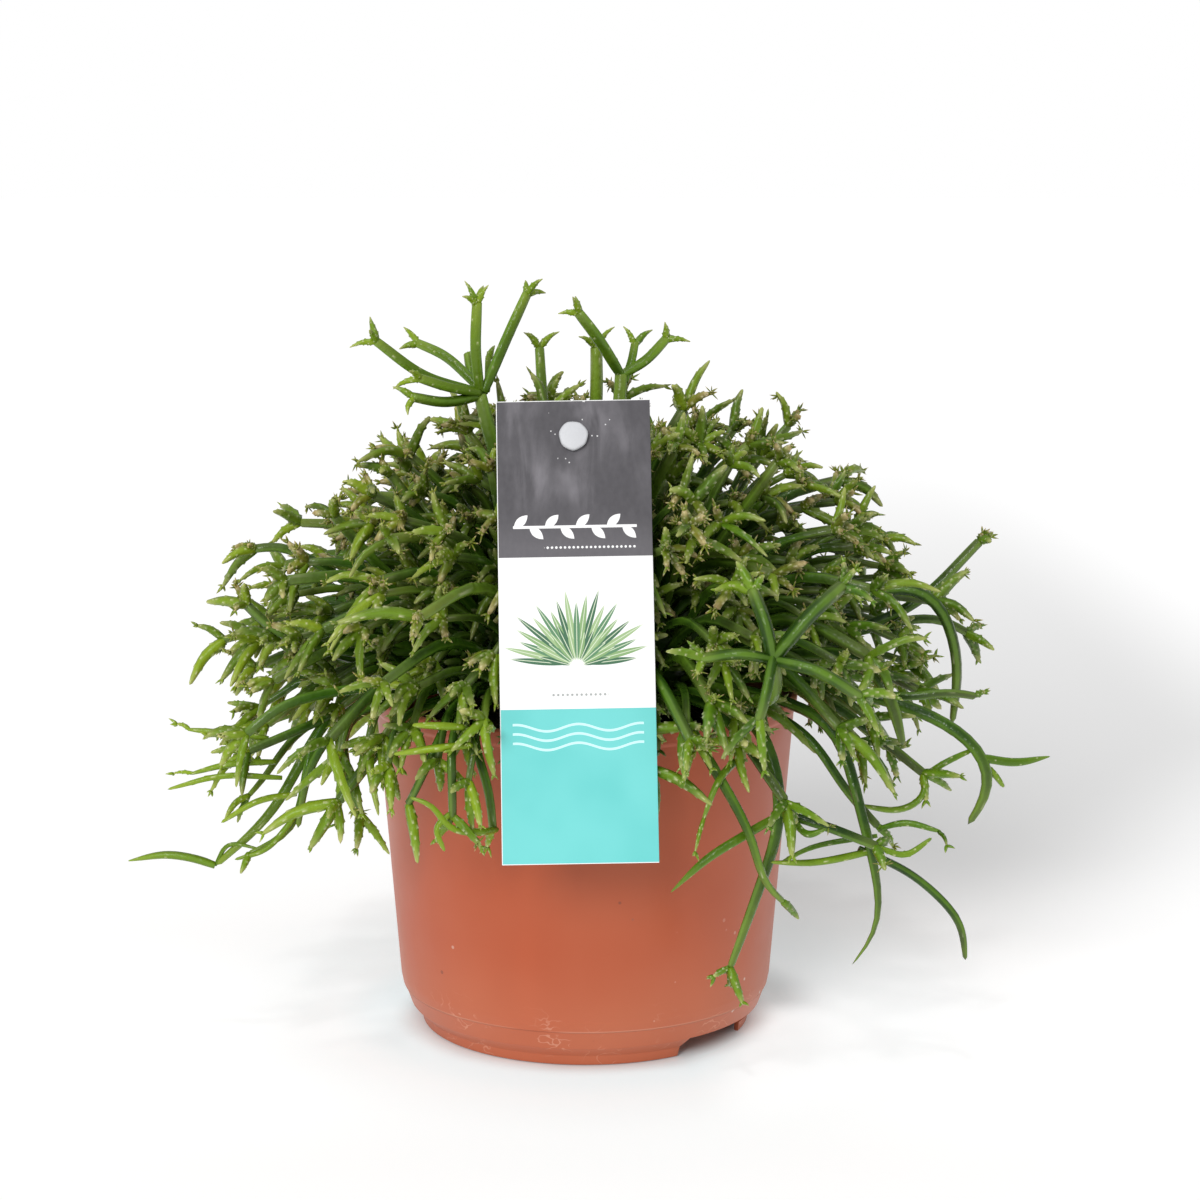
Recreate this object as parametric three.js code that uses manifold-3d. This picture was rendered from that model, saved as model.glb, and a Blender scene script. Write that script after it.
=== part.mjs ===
// A mistletoe cactus (Rhipsalis) in its plastic nursery pot, with the blank hanging label it is sold with.
// Units are millimetres, +Z is up, -Y is the front, and the origin is the middle of the pot's foot.
//
// Seven rooted clusters share the pot: a crown in the middle and six sides around it. Each cluster is one
// body: a few stems out of the potting mix, a small dense heart, limbs that stand out of it, and a whorl of
// short fingers on the end of every limb. Each keeps to its own cell of the space, so no two of them cross.

import * as THREE from 'three';
import { mergeVertices } from 'three/addons/utils/BufferGeometryUtils.js';
import Module from 'manifold-3d';

const wasm = await Module();
wasm.setup();

const radians = THREE.MathUtils.degToRad;
const UP = new THREE.Vector3(0, 0, 1);
const GOLDEN_ANGLE = Math.PI * (3 - Math.sqrt(5));

// ---------------------------------------------------------------- driving dimensions

const pot = {
  height: 96,
  rimRadius: 60,
  rimBead: 0.6, // how far the rim stands out of the wall
  rimDepth: 5,
  shoulderRadius: 53.4, // where the straight wall ends
  shoulderHeight: 14,
  floorHeight: 6, // underside of the floor
  wall: 1.2,
  // The foot curves in below a small ledge. Its lines are [radius, height], going up.
  footOutside: [[47.2, 0], [47.6, 2.8], [50.6, 5.7], [52.4, 10.8], [52.8, 11]],
  footInside: [[45.8, 0], [46.2, 3], [48, 6]],
  bowl: [[48.8, 7.8], [52, 13]], // inside of the wall above the floor
  sides: 40,
  gateAngles: [-40, 60, 160], // the gaps in the foot that let water run out
  gateWidth: [28.4, 26.4], // at the ground and at the top
  gateHeight: 5.8,
  gateReach: [38, 58], // from the axis
  drainCircle: 36,
  drainRadius: 3.5,
  drains: 6,
};

const mix = { top: 86, crown: 3, crownRadius: 30, bevel: 3, gap: 0.4, sides: 24 };

const card = {
  width: 40,
  height: 120,
  thickness: 0.6,
  holeRadius: 2.4,
  holeBelowTop: 9.5,
  holeAt: [-3.1, -57.4, 173.9],
  lean: radians(16.4), // the top leans back against the shoots
  roll: radians(-1),
};

const stake = {
  width: 4,
  thickness: 1.4,
  behindCard: 1.2, // from the card's back to the middle of the stake
  neckRadius: 1.7,
  headRadius: 3.75,
  headHeight: 1.5,
  headGap: 0.3, // between the head and the card's face
  sides: 16,
  bends: 9,
  // Middle line in the card's own frame: [behind the card, along it], from the top to the tip.
  bow: [[0, 5], [0.6, -16], [5, -42], [23, -73.5], [46, -120]],
};

const heart = {
  centre: 106,
  halfWidth: 54,
  halfHeight: 46,
  underside: 99.5,
  detail: 4,
  spikeSpacing: 0.28, // on a ball of radius 1
  spikes: [0.18, 0.4], // how far the short shoots on it stand out, as a share of its radius
  seed: 2900,
  stakeNotch: { middle: -1.5, back: -51, width: 9, size: 50 },
};

const cells = {
  origin: 86, // the height that the cells open from
  crownPolar: radians(36),
  crownGap: 1.6,
  crownSides: 24,
  sectors: 6,
  gap: 0.5,
  reach: 200,
  top: 220,
};

const trunk = {
  radius: 2.2,
  depth: 30, // into the mix
  intoHeart: 3,
  crownCircle: 5,
  crownStems: 3,
  sideCircles: [28, 38],
  fan: radians(22),
  sides: 6,
};

const dome = { centre: 100, halfWidth: 98, halfHeight: 79, lowestPolar: radians(109), reach: [0.84, 1.06] };
const limb = { radius: [1.8, 2.2], rootShare: 0.44, jitter: 12, arch: 10, sides: 4 };
const whorls = { count: 92, seed: 4100, scatter: 0.5, crowding: 1.2, leaderSeed: 7300, tries: 4 };
const finger = { radius: 1.8, length: [9, 15], opening: [radians(24), radians(68)], sag: 0.14, sides: 3 };
const clear = { card: 1.6, pot: 1.4, insideRim: 8, slack: 0.9 }; // from the shoots to the label and the pot
const thicket = { spacing: 2.4, clearance: 0.5, rootFree: 4.5 };

// Shoots that grow past the dome, placed by hand. Each has its route, radius, and the fingers on its end.
const leaders = [
  // a tall forked shoot, left of the middle
  { route: [[-17, -12, 138], [-26, -17, 170], [-29, -16, 182]], radius: 2, fingers: 1 },
  { route: [[-29, -16, 182], [-30, -18, 194], [-29.5, -18, 207]], radius: 1.5, fingers: 4 },
  { route: [[-28, -16, 182], [-22, -10, 196], [-16, -6, 209]], radius: 1.5, fingers: 3 },
  { route: [[-29, -16, 182], [-44, -21, 187], [-57, -26, 197]], radius: 1.4, fingers: 3 },
  { route: [[-29, -15, 183], [-38, -10, 191], [-47, -6, 195]], radius: 1.4, fingers: 2 },
  { route: [[-29, -16, 181], [-38, -24, 180], [-47, -30, 182]], radius: 1.4, fingers: 2 },
  // a second one to its right
  { route: [[5, -6, 138], [9, -8, 172], [10, -6, 187]], radius: 1.9, fingers: 0 },
  { route: [[10, -6, 186], [4, -12, 196], [-2, -14, 204]], radius: 1.6, fingers: 3 },
  { route: [[10, -6, 186], [17, -4, 190], [23, 0, 196]], radius: 1.5, fingers: 4 },
  { route: [[11, -6, 184], [13, -4, 190], [14, -2, 195]], radius: 1.2, fingers: 2 },
  { route: [[1, 9, 138], [3, 6, 178], [3, 4, 194]], radius: 1.9, fingers: 2 },
  { route: [[-9, 1, 138], [-12, 0, 178], [-13, 2, 194]], radius: 1.5, fingers: 3 },
  // the bush's upper edge
  { route: [[30, 8, 132], [45, 7, 156], [60, 8, 170]], radius: 1.6, fingers: 3 },
  { route: [[20, 2, 136], [33, -2, 158], [42, -1, 171]], radius: 1.7, fingers: 4 },
  { route: [[40, -2, 122], [62, -3, 136], [77, -5, 145]], radius: 1.7, fingers: 4 },
  { route: [[44, 5, 112], [68, 3, 128], [84, 1, 139]], radius: 1.6, fingers: 4 },
  { route: [[-40, -13, 118], [-58, -22, 136], [-69, -27, 150]], radius: 1.8, fingers: 4 },
  { route: [[-30, -13, 130], [-45, -19, 149], [-53, -22, 162]], radius: 1.8, fingers: 4 },
  // right side, standing out and arching over
  { route: [[48, 0, 106], [90, 0, 118], [113, 2, 139]], radius: 1.7, fingers: 3 },
  { route: [[46, -10, 112], [90, -20, 129], [103, -21, 111], [102, -22, 90]], radius: 1.8, fingers: 0 },
  { route: [[48, 4, 103], [96, 8, 115], [111, 10, 110]], radius: 1.6, fingers: 3 },
  {
    route: [[46, -17, 104], [88, -30, 97], [107, -36, 87], [111, -38, 76], [105, -36, 65]],
    radius: 1.9,
    fingers: 0,
  },
  { route: [[108, -37, 84], [118, -34, 82], [128, -31, 83]], radius: 1.2, fingers: 0 },
  { route: [[44, -24, 106], [84, -42, 102], [97, -44, 104], [106, -42, 102]], radius: 1.3, fingers: 1 },
  { route: [[38, -34, 110], [70, -50, 115], [80, -56, 106], [84, -58, 92]], radius: 2, fingers: 0 },
  // front right, a bright whorl and three trailing shoots
  { route: [[28, -36, 106], [47, -78, 108], [47, -91, 122]], radius: 1.9, fingers: 0 },
  { route: [[47, -90, 121], [45, -90, 130], [42, -84, 138]], radius: 1.8, fingers: 4 },
  { route: [[47, -90, 121], [56, -90, 132], [65, -84, 139]], radius: 2, fingers: 4 },
  { route: [[47, -90, 121], [38, -93, 123], [29, -89, 121]], radius: 1.5, fingers: 3 },
  { route: [[47, -90, 121], [58, -95, 119], [69, -93, 112]], radius: 1.7, fingers: 4 },
  { route: [[47, -90, 122], [45, -98, 115], [43, -98, 107]], radius: 1.5, fingers: 3 },
  {
    route: [[34, -30, 104], [64, -58, 99], [71, -67, 80], [77, -67, 57], [78, -65, 43], [71, -62, 33]],
    radius: 1.6,
    fingers: 0,
  },
  { route: [[72, -66, 66], [87, -64, 58], [99, -64, 46], [101, -64, 35]], radius: 1.2, fingers: 0 },
  {
    route: [[28, -36, 103], [45, -62, 99], [51, -72, 78], [45, -70, 55], [38, -67, 33]],
    radius: 1.8,
    fingers: 3,
  },
  { route: [[51, -72, 77], [63, -75, 74], [76, -76, 69]], radius: 1.5, fingers: 2 },
  { route: [[49, -73, 76], [40, -78, 72], [31, -81, 67], [22, -80, 58]], radius: 1.2, fingers: 0 },
  // low at the right, crossing the trailing ones
  { route: [[44, -40, 101], [59, -56, 94], [69, -58, 80], [78, -60, 70]], radius: 1.4, fingers: 2 },
  { route: [[46, -18, 104], [65, -30, 99], [80, -32, 89], [93, -36, 79]], radius: 1.6, fingers: 3 },
  { route: [[12, -50, 110], [18, -68, 113], [27, -86, 99]], radius: 1.9, fingers: 4 },
  {
    route: [[24, -52, 104], [29, -75, 97], [42, -81, 75], [46, -79, 60], [52, -76, 54]],
    radius: 1.5,
    fingers: 1,
  },
  // left side, the longest one lying out to the tip
  { route: [[-46, -16, 106], [-69, -32, 96], [-85, -40, 70], [-101, -42, 55]], radius: 1.6, fingers: 0 },
  { route: [[-101, -42, 55], [-107, -42, 57], [-115, -42, 58], [-125, -41, 56]], radius: 1.2, fingers: 0 },
  { route: [[-46, -18, 103], [-72, -34, 93], [-79, -41, 66], [-92, -46, 59]], radius: 1.4, fingers: 1 },
  { route: [[-46, -18, 106], [-80, -36, 117], [-92, -38, 127]], radius: 1.7, fingers: 4 },
  { route: [[-46, -10, 114], [-80, -18, 138], [-92, -20, 139]], radius: 1.6, fingers: 4 },
  { route: [[-48, -6, 108], [-88, -8, 114], [-103, -6, 111]], radius: 1.5, fingers: 3 },
  { route: [[-36, -32, 106], [-76, -56, 104], [-90, -60, 95]], radius: 1.6, fingers: 4 },
  { route: [[-46, -16, 103], [-72, -34, 94], [-92, -44, 87]], radius: 1.5, fingers: 4 },
  { route: [[-36, -30, 103], [-61, -48, 99], [-65, -53, 90], [-60, -55, 72]], radius: 1.7, fingers: 3 },
  // in front of the pot, left of the label
  { route: [[-24, -44, 104], [-29, -70, 98], [-25, -74, 84], [-24, -72, 72]], radius: 1.4, fingers: 1 },
  { route: [[-30, -46, 104], [-34, -78, 99], [-34, -84, 88], [-34, -82, 78]], radius: 1.4, fingers: 2 },
  { route: [[-34, -40, 102], [-38, -74, 97], [-42, -79, 88], [-46, -77, 80]], radius: 1.3, fingers: 1 },
];

// ---------------------------------------------------------------- small tools

function randomStream(seed) {
  let state = seed >>> 0;
  return () => {
    state = (Math.imul(state, 1664525) + 1013904223) >>> 0;
    return state / 4294967296;
  };
}

const between = ([low, high], share) => low + (high - low) * share;
const vector = (x, y, z) => new THREE.Vector3(x, y, z);

function solidOf(geometry, matrix) {
  const bare = new THREE.BufferGeometry().setAttribute('position', geometry.getAttribute('position'));
  if (geometry.index) bare.setIndex(geometry.index);
  if (matrix) bare.applyMatrix4(matrix);
  const merged = mergeVertices(bare, 1e-4);
  return new wasm.Manifold(new wasm.Mesh({
    numProp: 3,
    vertProperties: merged.getAttribute('position').array,
    triVerts: new Uint32Array(merged.index.array),
  }));
}

function geometryOf(solid) {
  const mesh = solid.getMesh();
  return new THREE.BufferGeometry()
    .setAttribute('position', new THREE.BufferAttribute(mesh.vertProperties, 3))
    .setIndex(new THREE.BufferAttribute(mesh.triVerts, 1));
}

// Joins solids into one body. Sealed hollows and scraps that touch nothing are left out.
function fuse(solids) {
  const bodies = wasm.Manifold.union(solids).decompose();
  return bodies.reduce((most, body) => (body.volume() > most.volume() ? body : most));
}

function lathe(profile, sides) {
  const points = profile.map(([radius, height]) => new THREE.Vector2(radius, height));
  return solidOf(new THREE.LatheGeometry(points, sides), new THREE.Matrix4().makeRotationX(Math.PI / 2));
}

function rod(x, y, low, high, radius, sides) {
  const shape = lathe([[0, low], [radius, low], [radius, high], [0, high]], sides);
  return shape.translate([x, y, 0]);
}

// ---------------------------------------------------------------- pot, potting mix, label

function wallRadius(height) {
  const share = (height - pot.shoulderHeight) / (pot.height - pot.shoulderHeight);
  return pot.shoulderRadius + (pot.rimRadius - pot.shoulderRadius) * Math.max(share, 0);
}

function makePot() {
  const { height, wall, rimRadius, rimBead, rimDepth } = pot;
  const { shoulderRadius, shoulderHeight, floorHeight, footOutside, footInside, bowl } = pot;
  const beadFoot = height - rimDepth;
  const shell = lathe([
    [0, floorHeight],
    ...[...footInside].reverse(),
    ...footOutside,
    [shoulderRadius, shoulderHeight],
    [wallRadius(beadFoot), beadFoot],
    [wallRadius(beadFoot) + rimBead, beadFoot + 0.8],
    [rimRadius + rimBead, height - 0.6],
    [rimRadius, height],
    [rimRadius - wall + 0.2, height],
    ...[...bowl].reverse(),
    [bowl[0][0] - 1, floorHeight + wall],
    [0, floorHeight + wall],
  ], pot.sides);
  const gates = pot.gateAngles.map((angle) => gateSolid().rotate([0, 0, angle]));
  const drains = Array.from({ length: pot.drains }, (_, i) => {
    const angle = (i / pot.drains) * 2 * Math.PI;
    const [x, y] = [pot.drainCircle * Math.cos(angle), pot.drainCircle * Math.sin(angle)];
    return rod(x, y, floorHeight - 1, floorHeight + wall + 1, pot.drainRadius, 8);
  });
  return shell.subtract(wasm.Manifold.union([...gates, ...drains]));
}

// A gap in the foot, a little wider at the ground, drawn across the radius and extruded along it.
function gateSolid() {
  const { gateWidth: [wide, narrow], gateHeight, gateReach: [near, far] } = pot;
  const outline = new THREE.Shape();
  outline.moveTo(wide / 2, -1);
  outline.lineTo(narrow / 2, gateHeight);
  outline.lineTo(-narrow / 2, gateHeight);
  outline.lineTo(-wide / 2, -1);
  outline.closePath();
  const gate = new THREE.ExtrudeGeometry(outline, { depth: far - near, bevelEnabled: false });
  // Drawn with x across and y up; the extrusion then runs out along X.
  const placed = new THREE.Matrix4().set(0, 0, 1, near, 1, 0, 0, 0, 0, 1, 0, 0, 0, 0, 0, 1);
  return solidOf(gate, placed);
}

// Every stem and the stake stand in a plain hole of their own in the mix.
function makeMix(trunks) {
  const { top, crown, crownRadius, bevel, gap, sides } = mix;
  const low = pot.floorHeight + pot.wall + gap;
  const edge = wallRadius(top) - pot.wall - 2 * gap;
  const body = lathe([
    [0, low],
    [pot.bowl[0][0] - 1 - gap, low],
    ...pot.bowl.map(([radius, height]) => [radius - 2 * gap, height]),
    [edge, top - bevel / 2],
    [edge - bevel, top],
    [crownRadius, top + crown * 0.6],
    [0, top + crown],
  ], sides);
  const holes = trunks.map(({ x, y }) =>
    rod(x, y, top - trunk.depth - gap, top + 2 * crown, trunk.radius + gap, trunk.sides + 2));
  const slot = stripSolid(stake.width + 2 * gap, stake.thickness + 2 * gap, 2 * gap);
  return body.subtract(wasm.Manifold.union([...holes, slot]));
}

// The card's own frame has X across it, Y behind it and Z up along it, with its origin in the hole.
const cardFrame = new THREE.Matrix4()
  .makeRotationFromEuler(new THREE.Euler(-card.lean, card.roll, 0, 'XYZ'))
  .setPosition(...card.holeAt);
const cardFrameInverse = cardFrame.clone().invert();

function makeCard() {
  const { width, height, thickness, holeRadius, holeBelowTop } = card;
  const outline = new THREE.Shape();
  const low = holeBelowTop - height;
  outline.moveTo(-width / 2, low);
  outline.lineTo(width / 2, low);
  outline.lineTo(width / 2, holeBelowTop);
  outline.lineTo(-width / 2, holeBelowTop);
  outline.closePath();
  outline.holes.push(new THREE.Path().absarc(0, 0, holeRadius, 0, 2 * Math.PI, true));
  const options = { depth: thickness, bevelEnabled: false, curveSegments: 6 };
  return new THREE.ExtrudeGeometry(outline, options).rotateX(Math.PI / 2).translate(0, thickness / 2, 0);
}

// The stake's middle line in the card's frame, as [behind the card's middle, along the card].
function stakeLine(extraLength) {
  const behind = card.thickness / 2 + stake.behindCard;
  const points = stake.bow.map(([back, along]) => new THREE.Vector2(back + behind, along));
  const last = points[points.length - 1];
  const heading = last.clone().sub(points[points.length - 2]).normalize();
  last.addScaledVector(heading, extraLength);
  return new THREE.SplineCurve(points);
}

// The strip is drawn from the side, as its middle line thickened, and extruded across its width.
function stripSolid(width, thickness, extraLength) {
  const line = stakeLine(extraLength);
  const shares = Array.from({ length: stake.bends + 1 }, (_, i) => i / stake.bends);
  const offset = (share, side) => {
    const at = line.getPoint(share);
    const along = line.getTangent(share);
    return new THREE.Vector2(at.x - along.y * side, at.y + along.x * side);
  };
  const back = shares.map((share) => offset(share, thickness / 2));
  const front = shares.map((share) => offset(share, -thickness / 2));
  const outline = [...back, ...front.reverse()];
  const strip = new THREE.ExtrudeGeometry(new THREE.Shape(outline), { depth: width, bevelEnabled: false });
  // Side view (x behind, y along, z across) to the card's frame (x across, y behind, z along).
  strip.applyMatrix4(new THREE.Matrix4().set(0, 0, 1, -width / 2, 1, 0, 0, 0, 0, 1, 0, 0, 0, 0, 0, 1));
  return solidOf(strip, cardFrame);
}

// The head sits in front of the card and the neck passes through its hole.
function makeStake() {
  const { neckRadius, headRadius, headHeight, behindCard } = stake;
  const face = card.thickness / 2 + stake.headGap;
  const back = -card.thickness / 2 - behindCard;
  const button = solidOf(new THREE.LatheGeometry([
    [0, back],
    [neckRadius, back],
    [neckRadius, face],
    [headRadius, face],
    [headRadius, face + headHeight * 0.5],
    [headRadius * 0.78, face + headHeight * 0.9],
    [0, face + headHeight],
  ].map(([radius, out]) => new THREE.Vector2(radius, out)), stake.sides));
  const turn = new THREE.Matrix4().makeRotationX(Math.PI).premultiply(cardFrame);
  return fuse([stripSolid(stake.width, stake.thickness, 0), button.transform(turn.elements)]);
}

// ---------------------------------------------------------------- cells

const cellNames = ['crown', 'right', 'right_back', 'left_back', 'left', 'left_front', 'right_front'];
const sectorWidth = (2 * Math.PI) / cells.sectors;
const origin = vector(0, 0, cells.origin);

// Cell 0 is a cone about the axis. Cells 1 to 6 are sectors around it, the first one centred on +X.
function cellOf(point) {
  const away = point.clone().sub(origin);
  if (Math.atan2(Math.hypot(away.x, away.y), away.z) < cells.crownPolar) return 0;
  const turn = Math.atan2(away.y, away.x) / sectorWidth;
  return 1 + ((Math.round(turn) + cells.sectors) % cells.sectors);
}

const sectorMiddle = (cell) => (cell - 1) * sectorWidth;

function keepInCell(point, radius, cell) {
  const away = point.clone().sub(origin);
  const flat = Math.max(Math.hypot(away.x, away.y), 1e-6);
  let azimuth = Math.atan2(away.y, away.x);
  let polar = Math.atan2(flat, away.z);
  const margin = (radius + cells.gap + (cell ? 1 : 0.4)) / away.length();
  polar = cell ? Math.max(polar, cells.crownPolar + margin) : Math.min(polar, cells.crownPolar - margin);
  if (cell) {
    const halfRoom = sectorWidth / 2 - Math.asin(Math.min((radius + cells.gap) / flat, 1));
    let turn = azimuth - sectorMiddle(cell);
    turn -= 2 * Math.PI * Math.round(turn / (2 * Math.PI));
    azimuth = sectorMiddle(cell) + Math.min(Math.max(turn, -halfRoom), halfRoom);
  }
  const reach = away.length();
  return origin.clone().add(vector(
    reach * Math.sin(polar) * Math.cos(azimuth),
    reach * Math.sin(polar) * Math.sin(azimuth),
    reach * Math.cos(polar),
  ));
}

// ---------------------------------------------------------------- keeping clear of the pot and the label

function keepOffPot(point, radius) {
  const flat = Math.hypot(point.x, point.y);
  const overRim = pot.height + radius + clear.pot;
  if (point.z >= overRim) return point;
  const outside = wallRadius(point.z) + pot.rimBead + radius + clear.pot;
  if (flat < pot.rimRadius - clear.insideRim) return vector(point.x, point.y, overRim);
  if (flat < outside) return vector((point.x / flat) * outside, (point.y / flat) * outside, point.z);
  return point;
}

// How far behind the card's middle the shoots have to stay, at a place in the card's frame.
function depthBehindCard(across, along, radius) {
  const room = radius + clear.card;
  if (Math.abs(across) > card.width / 2 + room) return -Infinity;
  if (along > card.holeBelowTop + room || along < card.holeBelowTop - card.height - room) return -Infinity;
  if (Math.abs(across) > stake.width / 2 + room) return card.thickness / 2 + room;
  const lower = Math.max(stake.bow.findIndex(([, height]) => height <= along), 1);
  const [backA, alongA] = stake.bow[lower - 1];
  const [backB, alongB] = stake.bow[lower];
  const share = Math.min(Math.max((alongA - along) / (alongA - alongB), 0), 1);
  const middle = backA + (backB - backA) * share + card.thickness / 2 + stake.behindCard;
  return middle + stake.thickness + room;
}

function keepBehindCard(point, radius) {
  const local = point.clone().applyMatrix4(cardFrameInverse);
  const depth = depthBehindCard(local.x, local.z, radius);
  if (local.y >= depth) return point;
  return local.setY(depth).applyMatrix4(cardFrame);
}

const settle = (point, radius, cell) =>
  keepOffPot(keepInCell(keepBehindCard(point, radius), radius, cell), radius);

// A straight stretch between two settled points can still cut a corner of the card or the pot's rim.
function isClear(route, radius, cell) {
  return route.slice(1).every((end, i) =>
    [0.2, 0.4, 0.6, 0.8].every((share) => {
      const point = route[i].clone().lerp(end, share);
      return point.distanceTo(settle(point, radius * 0.6, cell)) < clear.slack;
    }));
}

// ---------------------------------------------------------------- shoots

// A closed tube of flat sides through the route, with one ring at each of its points. Radius 0 is a tip.
function tubeSolid(route, radii, sides) {
  const last = route.length - 1;
  const profile = radii.map((radius, i) => [radius, i]);
  if (radii[0] > 0) profile.unshift([0, 0]);
  if (radii[last] > 0) profile.push([0, last]);
  const tube = new THREE.LatheGeometry(profile.map(([radius, i]) => new THREE.Vector2(radius, i)), sides);
  const position = tube.getAttribute('position');
  const start = route[1].clone().sub(route[0]);
  const across = start.clone().cross(Math.abs(start.z) > 4 ? vector(1, 0, 0) : UP);
  for (let v = 0; v < position.count; v++) {
    const ring = Math.round(position.getY(v));
    const before = route[Math.max(ring - 1, 0)];
    const after = route[Math.min(ring + 1, last)];
    const along = after.clone().sub(before).normalize();
    const side = across.clone().addScaledVector(along, -across.dot(along)).normalize();
    const third = side.clone().cross(along);
    const at = route[ring].clone()
      .addScaledVector(side, position.getX(v))
      .addScaledVector(third, position.getZ(v));
    position.setXYZ(v, at.x, at.y, at.z);
  }
  return solidOf(tube);
}

// Points along the shoots that already stand, so that a new one can grow past them.
class Thicket {
  points = [];

  along(route, radius) {
    return route.slice(1).flatMap((end, i) => {
      const steps = Math.ceil(route[i].distanceTo(end) / thicket.spacing);
      const shares = Array.from({ length: steps }, (_, k) => (k + 1) / steps);
      return shares.map((share) => ({ at: route[i].clone().lerp(end, share), radius }));
    });
  }

  add(route, radius) {
    this.points.push(...this.along(route, radius));
  }

  // The first stretch of a shoot is left out: there it joins what it grows from.
  hasRoom(route, radius, freeFrom) {
    return this.along(route, radius)
      .filter(({ at }) => at.distanceTo(route[0]) > freeFrom)
      .every(({ at }) => this.points.every((other) =>
        at.distanceTo(other.at) > radius + other.radius + thicket.clearance));
  }
}

// A whorl of fingers opens around the end of a limb.
function addFingers(shoots, head, axis, count, cell, draw) {
  const side = axis.clone().cross(Math.abs(axis.z) > 0.9 ? vector(1, 0, 0) : UP).normalize();
  const third = side.clone().cross(axis);
  const root = head.clone().addScaledVector(axis, -1);
  const firstTurn = draw() * 2 * Math.PI;
  for (let i = 0; i < count; i++) {
    for (let attempt = 0; attempt < whorls.tries; attempt++) {
      const turn = firstTurn + (i * 2 * Math.PI) / count + (draw() - 0.5) * (0.7 + attempt * 0.5);
      const opening = between(finger.opening, draw());
      const length = between(finger.length, draw());
      const heading = axis.clone().multiplyScalar(Math.cos(opening))
        .addScaledVector(side, Math.cos(turn) * Math.sin(opening))
        .addScaledVector(third, Math.sin(turn) * Math.sin(opening));
      const middle = head.clone().addScaledVector(heading, length * 0.5);
      const tip = head.clone().addScaledVector(heading, length).addScaledVector(UP, -length * finger.sag);
      const route = [root, settle(middle, finger.radius, cell), settle(tip, 0.5, cell)];
      const room = Math.min(route[1].distanceTo(root), route[2].distanceTo(route[1]));
      if (room < length * 0.3 || !isClear(route.slice(1), finger.radius, cell)) continue;
      if (!shoots.thicket.hasRoom(route, finger.radius * 0.7, thicket.rootFree)) continue;
      shoots.push({ cell, route, radii: [0, finger.radius, 0], sides: finger.sides });
      shoots.thicket.add(route.slice(1), finger.radius * 0.7);
      break;
    }
  }
}

function addLimb(shoots, points, radius, fingers, cell, draw, rootFree) {
  const route = points.map((point) => settle(point, radius, cell));
  if (!isClear(route, radius, cell)) return false;
  if (rootFree && !shoots.thicket.hasRoom(route, radius, rootFree)) return false;
  const radii = route.map((_, i) => (i === 0 || i === route.length - 1 ? radius * 0.85 : radius));
  shoots.push({ cell, route, radii, sides: limb.sides });
  shoots.thicket.add(route, radius);
  const head = route[route.length - 1];
  const axis = head.clone().sub(route[route.length - 2]).normalize();
  addFingers(shoots, head, axis, fingers, cell, draw);
  return true;
}

// Whorls stand on the dome in a golden-angle spiral from the top to below the rim.
function addWhorl(shoots, index) {
  const draw = randomStream(whorls.seed + index * 17);
  const share = (index + 0.5) / whorls.count;
  const polar = Math.acos(1 - share ** whorls.crowding * (1 - Math.cos(dome.lowestPolar)));
  for (let attempt = 0; attempt < whorls.tries; attempt++) {
    const azimuth = index * GOLDEN_ANGLE + (draw() - 0.5) * whorls.scatter;
    const reach = between(dome.reach, draw());
    const head = vector(
      dome.halfWidth * Math.sin(polar) * Math.cos(azimuth) * reach,
      dome.halfWidth * Math.sin(polar) * Math.sin(azimuth) * reach,
      dome.centre + dome.halfHeight * Math.cos(polar) * reach,
    );
    const middleOfHeart = vector(0, 0, heart.centre);
    const root = middleOfHeart.clone().lerp(head, limb.rootShare);
    const jitter = vector(draw() - 0.5, draw() - 0.5, draw() - 0.5).multiplyScalar(limb.jitter);
    root.add(jitter);
    root.z = Math.max(root.z, heart.underside + limb.radius[1]);
    const middle = root.clone().lerp(head, 0.5).addScaledVector(UP, limb.arch * Math.sin(polar));
    const radius = between(limb.radius, draw());
    const fingers = draw() < 0.5 ? 3 : 4;
    const free = root.distanceTo(head) * 0.5;
    if (addLimb(shoots, [root, middle, head], radius, fingers, cellOf(head), draw, free)) return;
  }
}

function addLeader(shoots, { route, radius, fingers }, index) {
  const draw = randomStream(whorls.leaderSeed + index * 31);
  const points = route.map(([x, y, z]) => vector(x, y, z));
  addLimb(shoots, points, radius, fingers, cellOf(points[1]), draw);
}

function growShoots() {
  const shoots = [];
  shoots.thicket = new Thicket();
  leaders.forEach((leader, i) => addLeader(shoots, leader, i));
  for (let i = 0; i < whorls.count; i++) addWhorl(shoots, i);
  return shoots;
}

// ---------------------------------------------------------------- clusters

function placeTrunks() {
  const trunks = Array.from({ length: trunk.crownStems }, (_, i) => {
    const angle = Math.PI / 2 + (i * 2 * Math.PI) / trunk.crownStems;
    return { cell: 0, x: trunk.crownCircle * Math.cos(angle), y: trunk.crownCircle * Math.sin(angle) };
  });
  for (let cell = 1; cell <= cells.sectors; cell++) {
    trunk.sideCircles.forEach((circle, i) => {
      const angle = sectorMiddle(cell) + (i - 0.5) * trunk.fan;
      trunks.push({ cell, x: circle * Math.cos(angle), y: circle * Math.sin(angle) });
    });
  }
  return trunks;
}

// The crown's cell as a cone, from the underside of the heart to above the plant.
function crownCone(gap) {
  const radiusAt = (height) => (height - cells.origin) * Math.tan(cells.crownPolar) + gap;
  const [low, top] = [heart.underside, cells.top];
  return lathe([[0, low], [radiusAt(low), low], [radiusAt(top), top], [0, top]], cells.crownSides);
}

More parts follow.
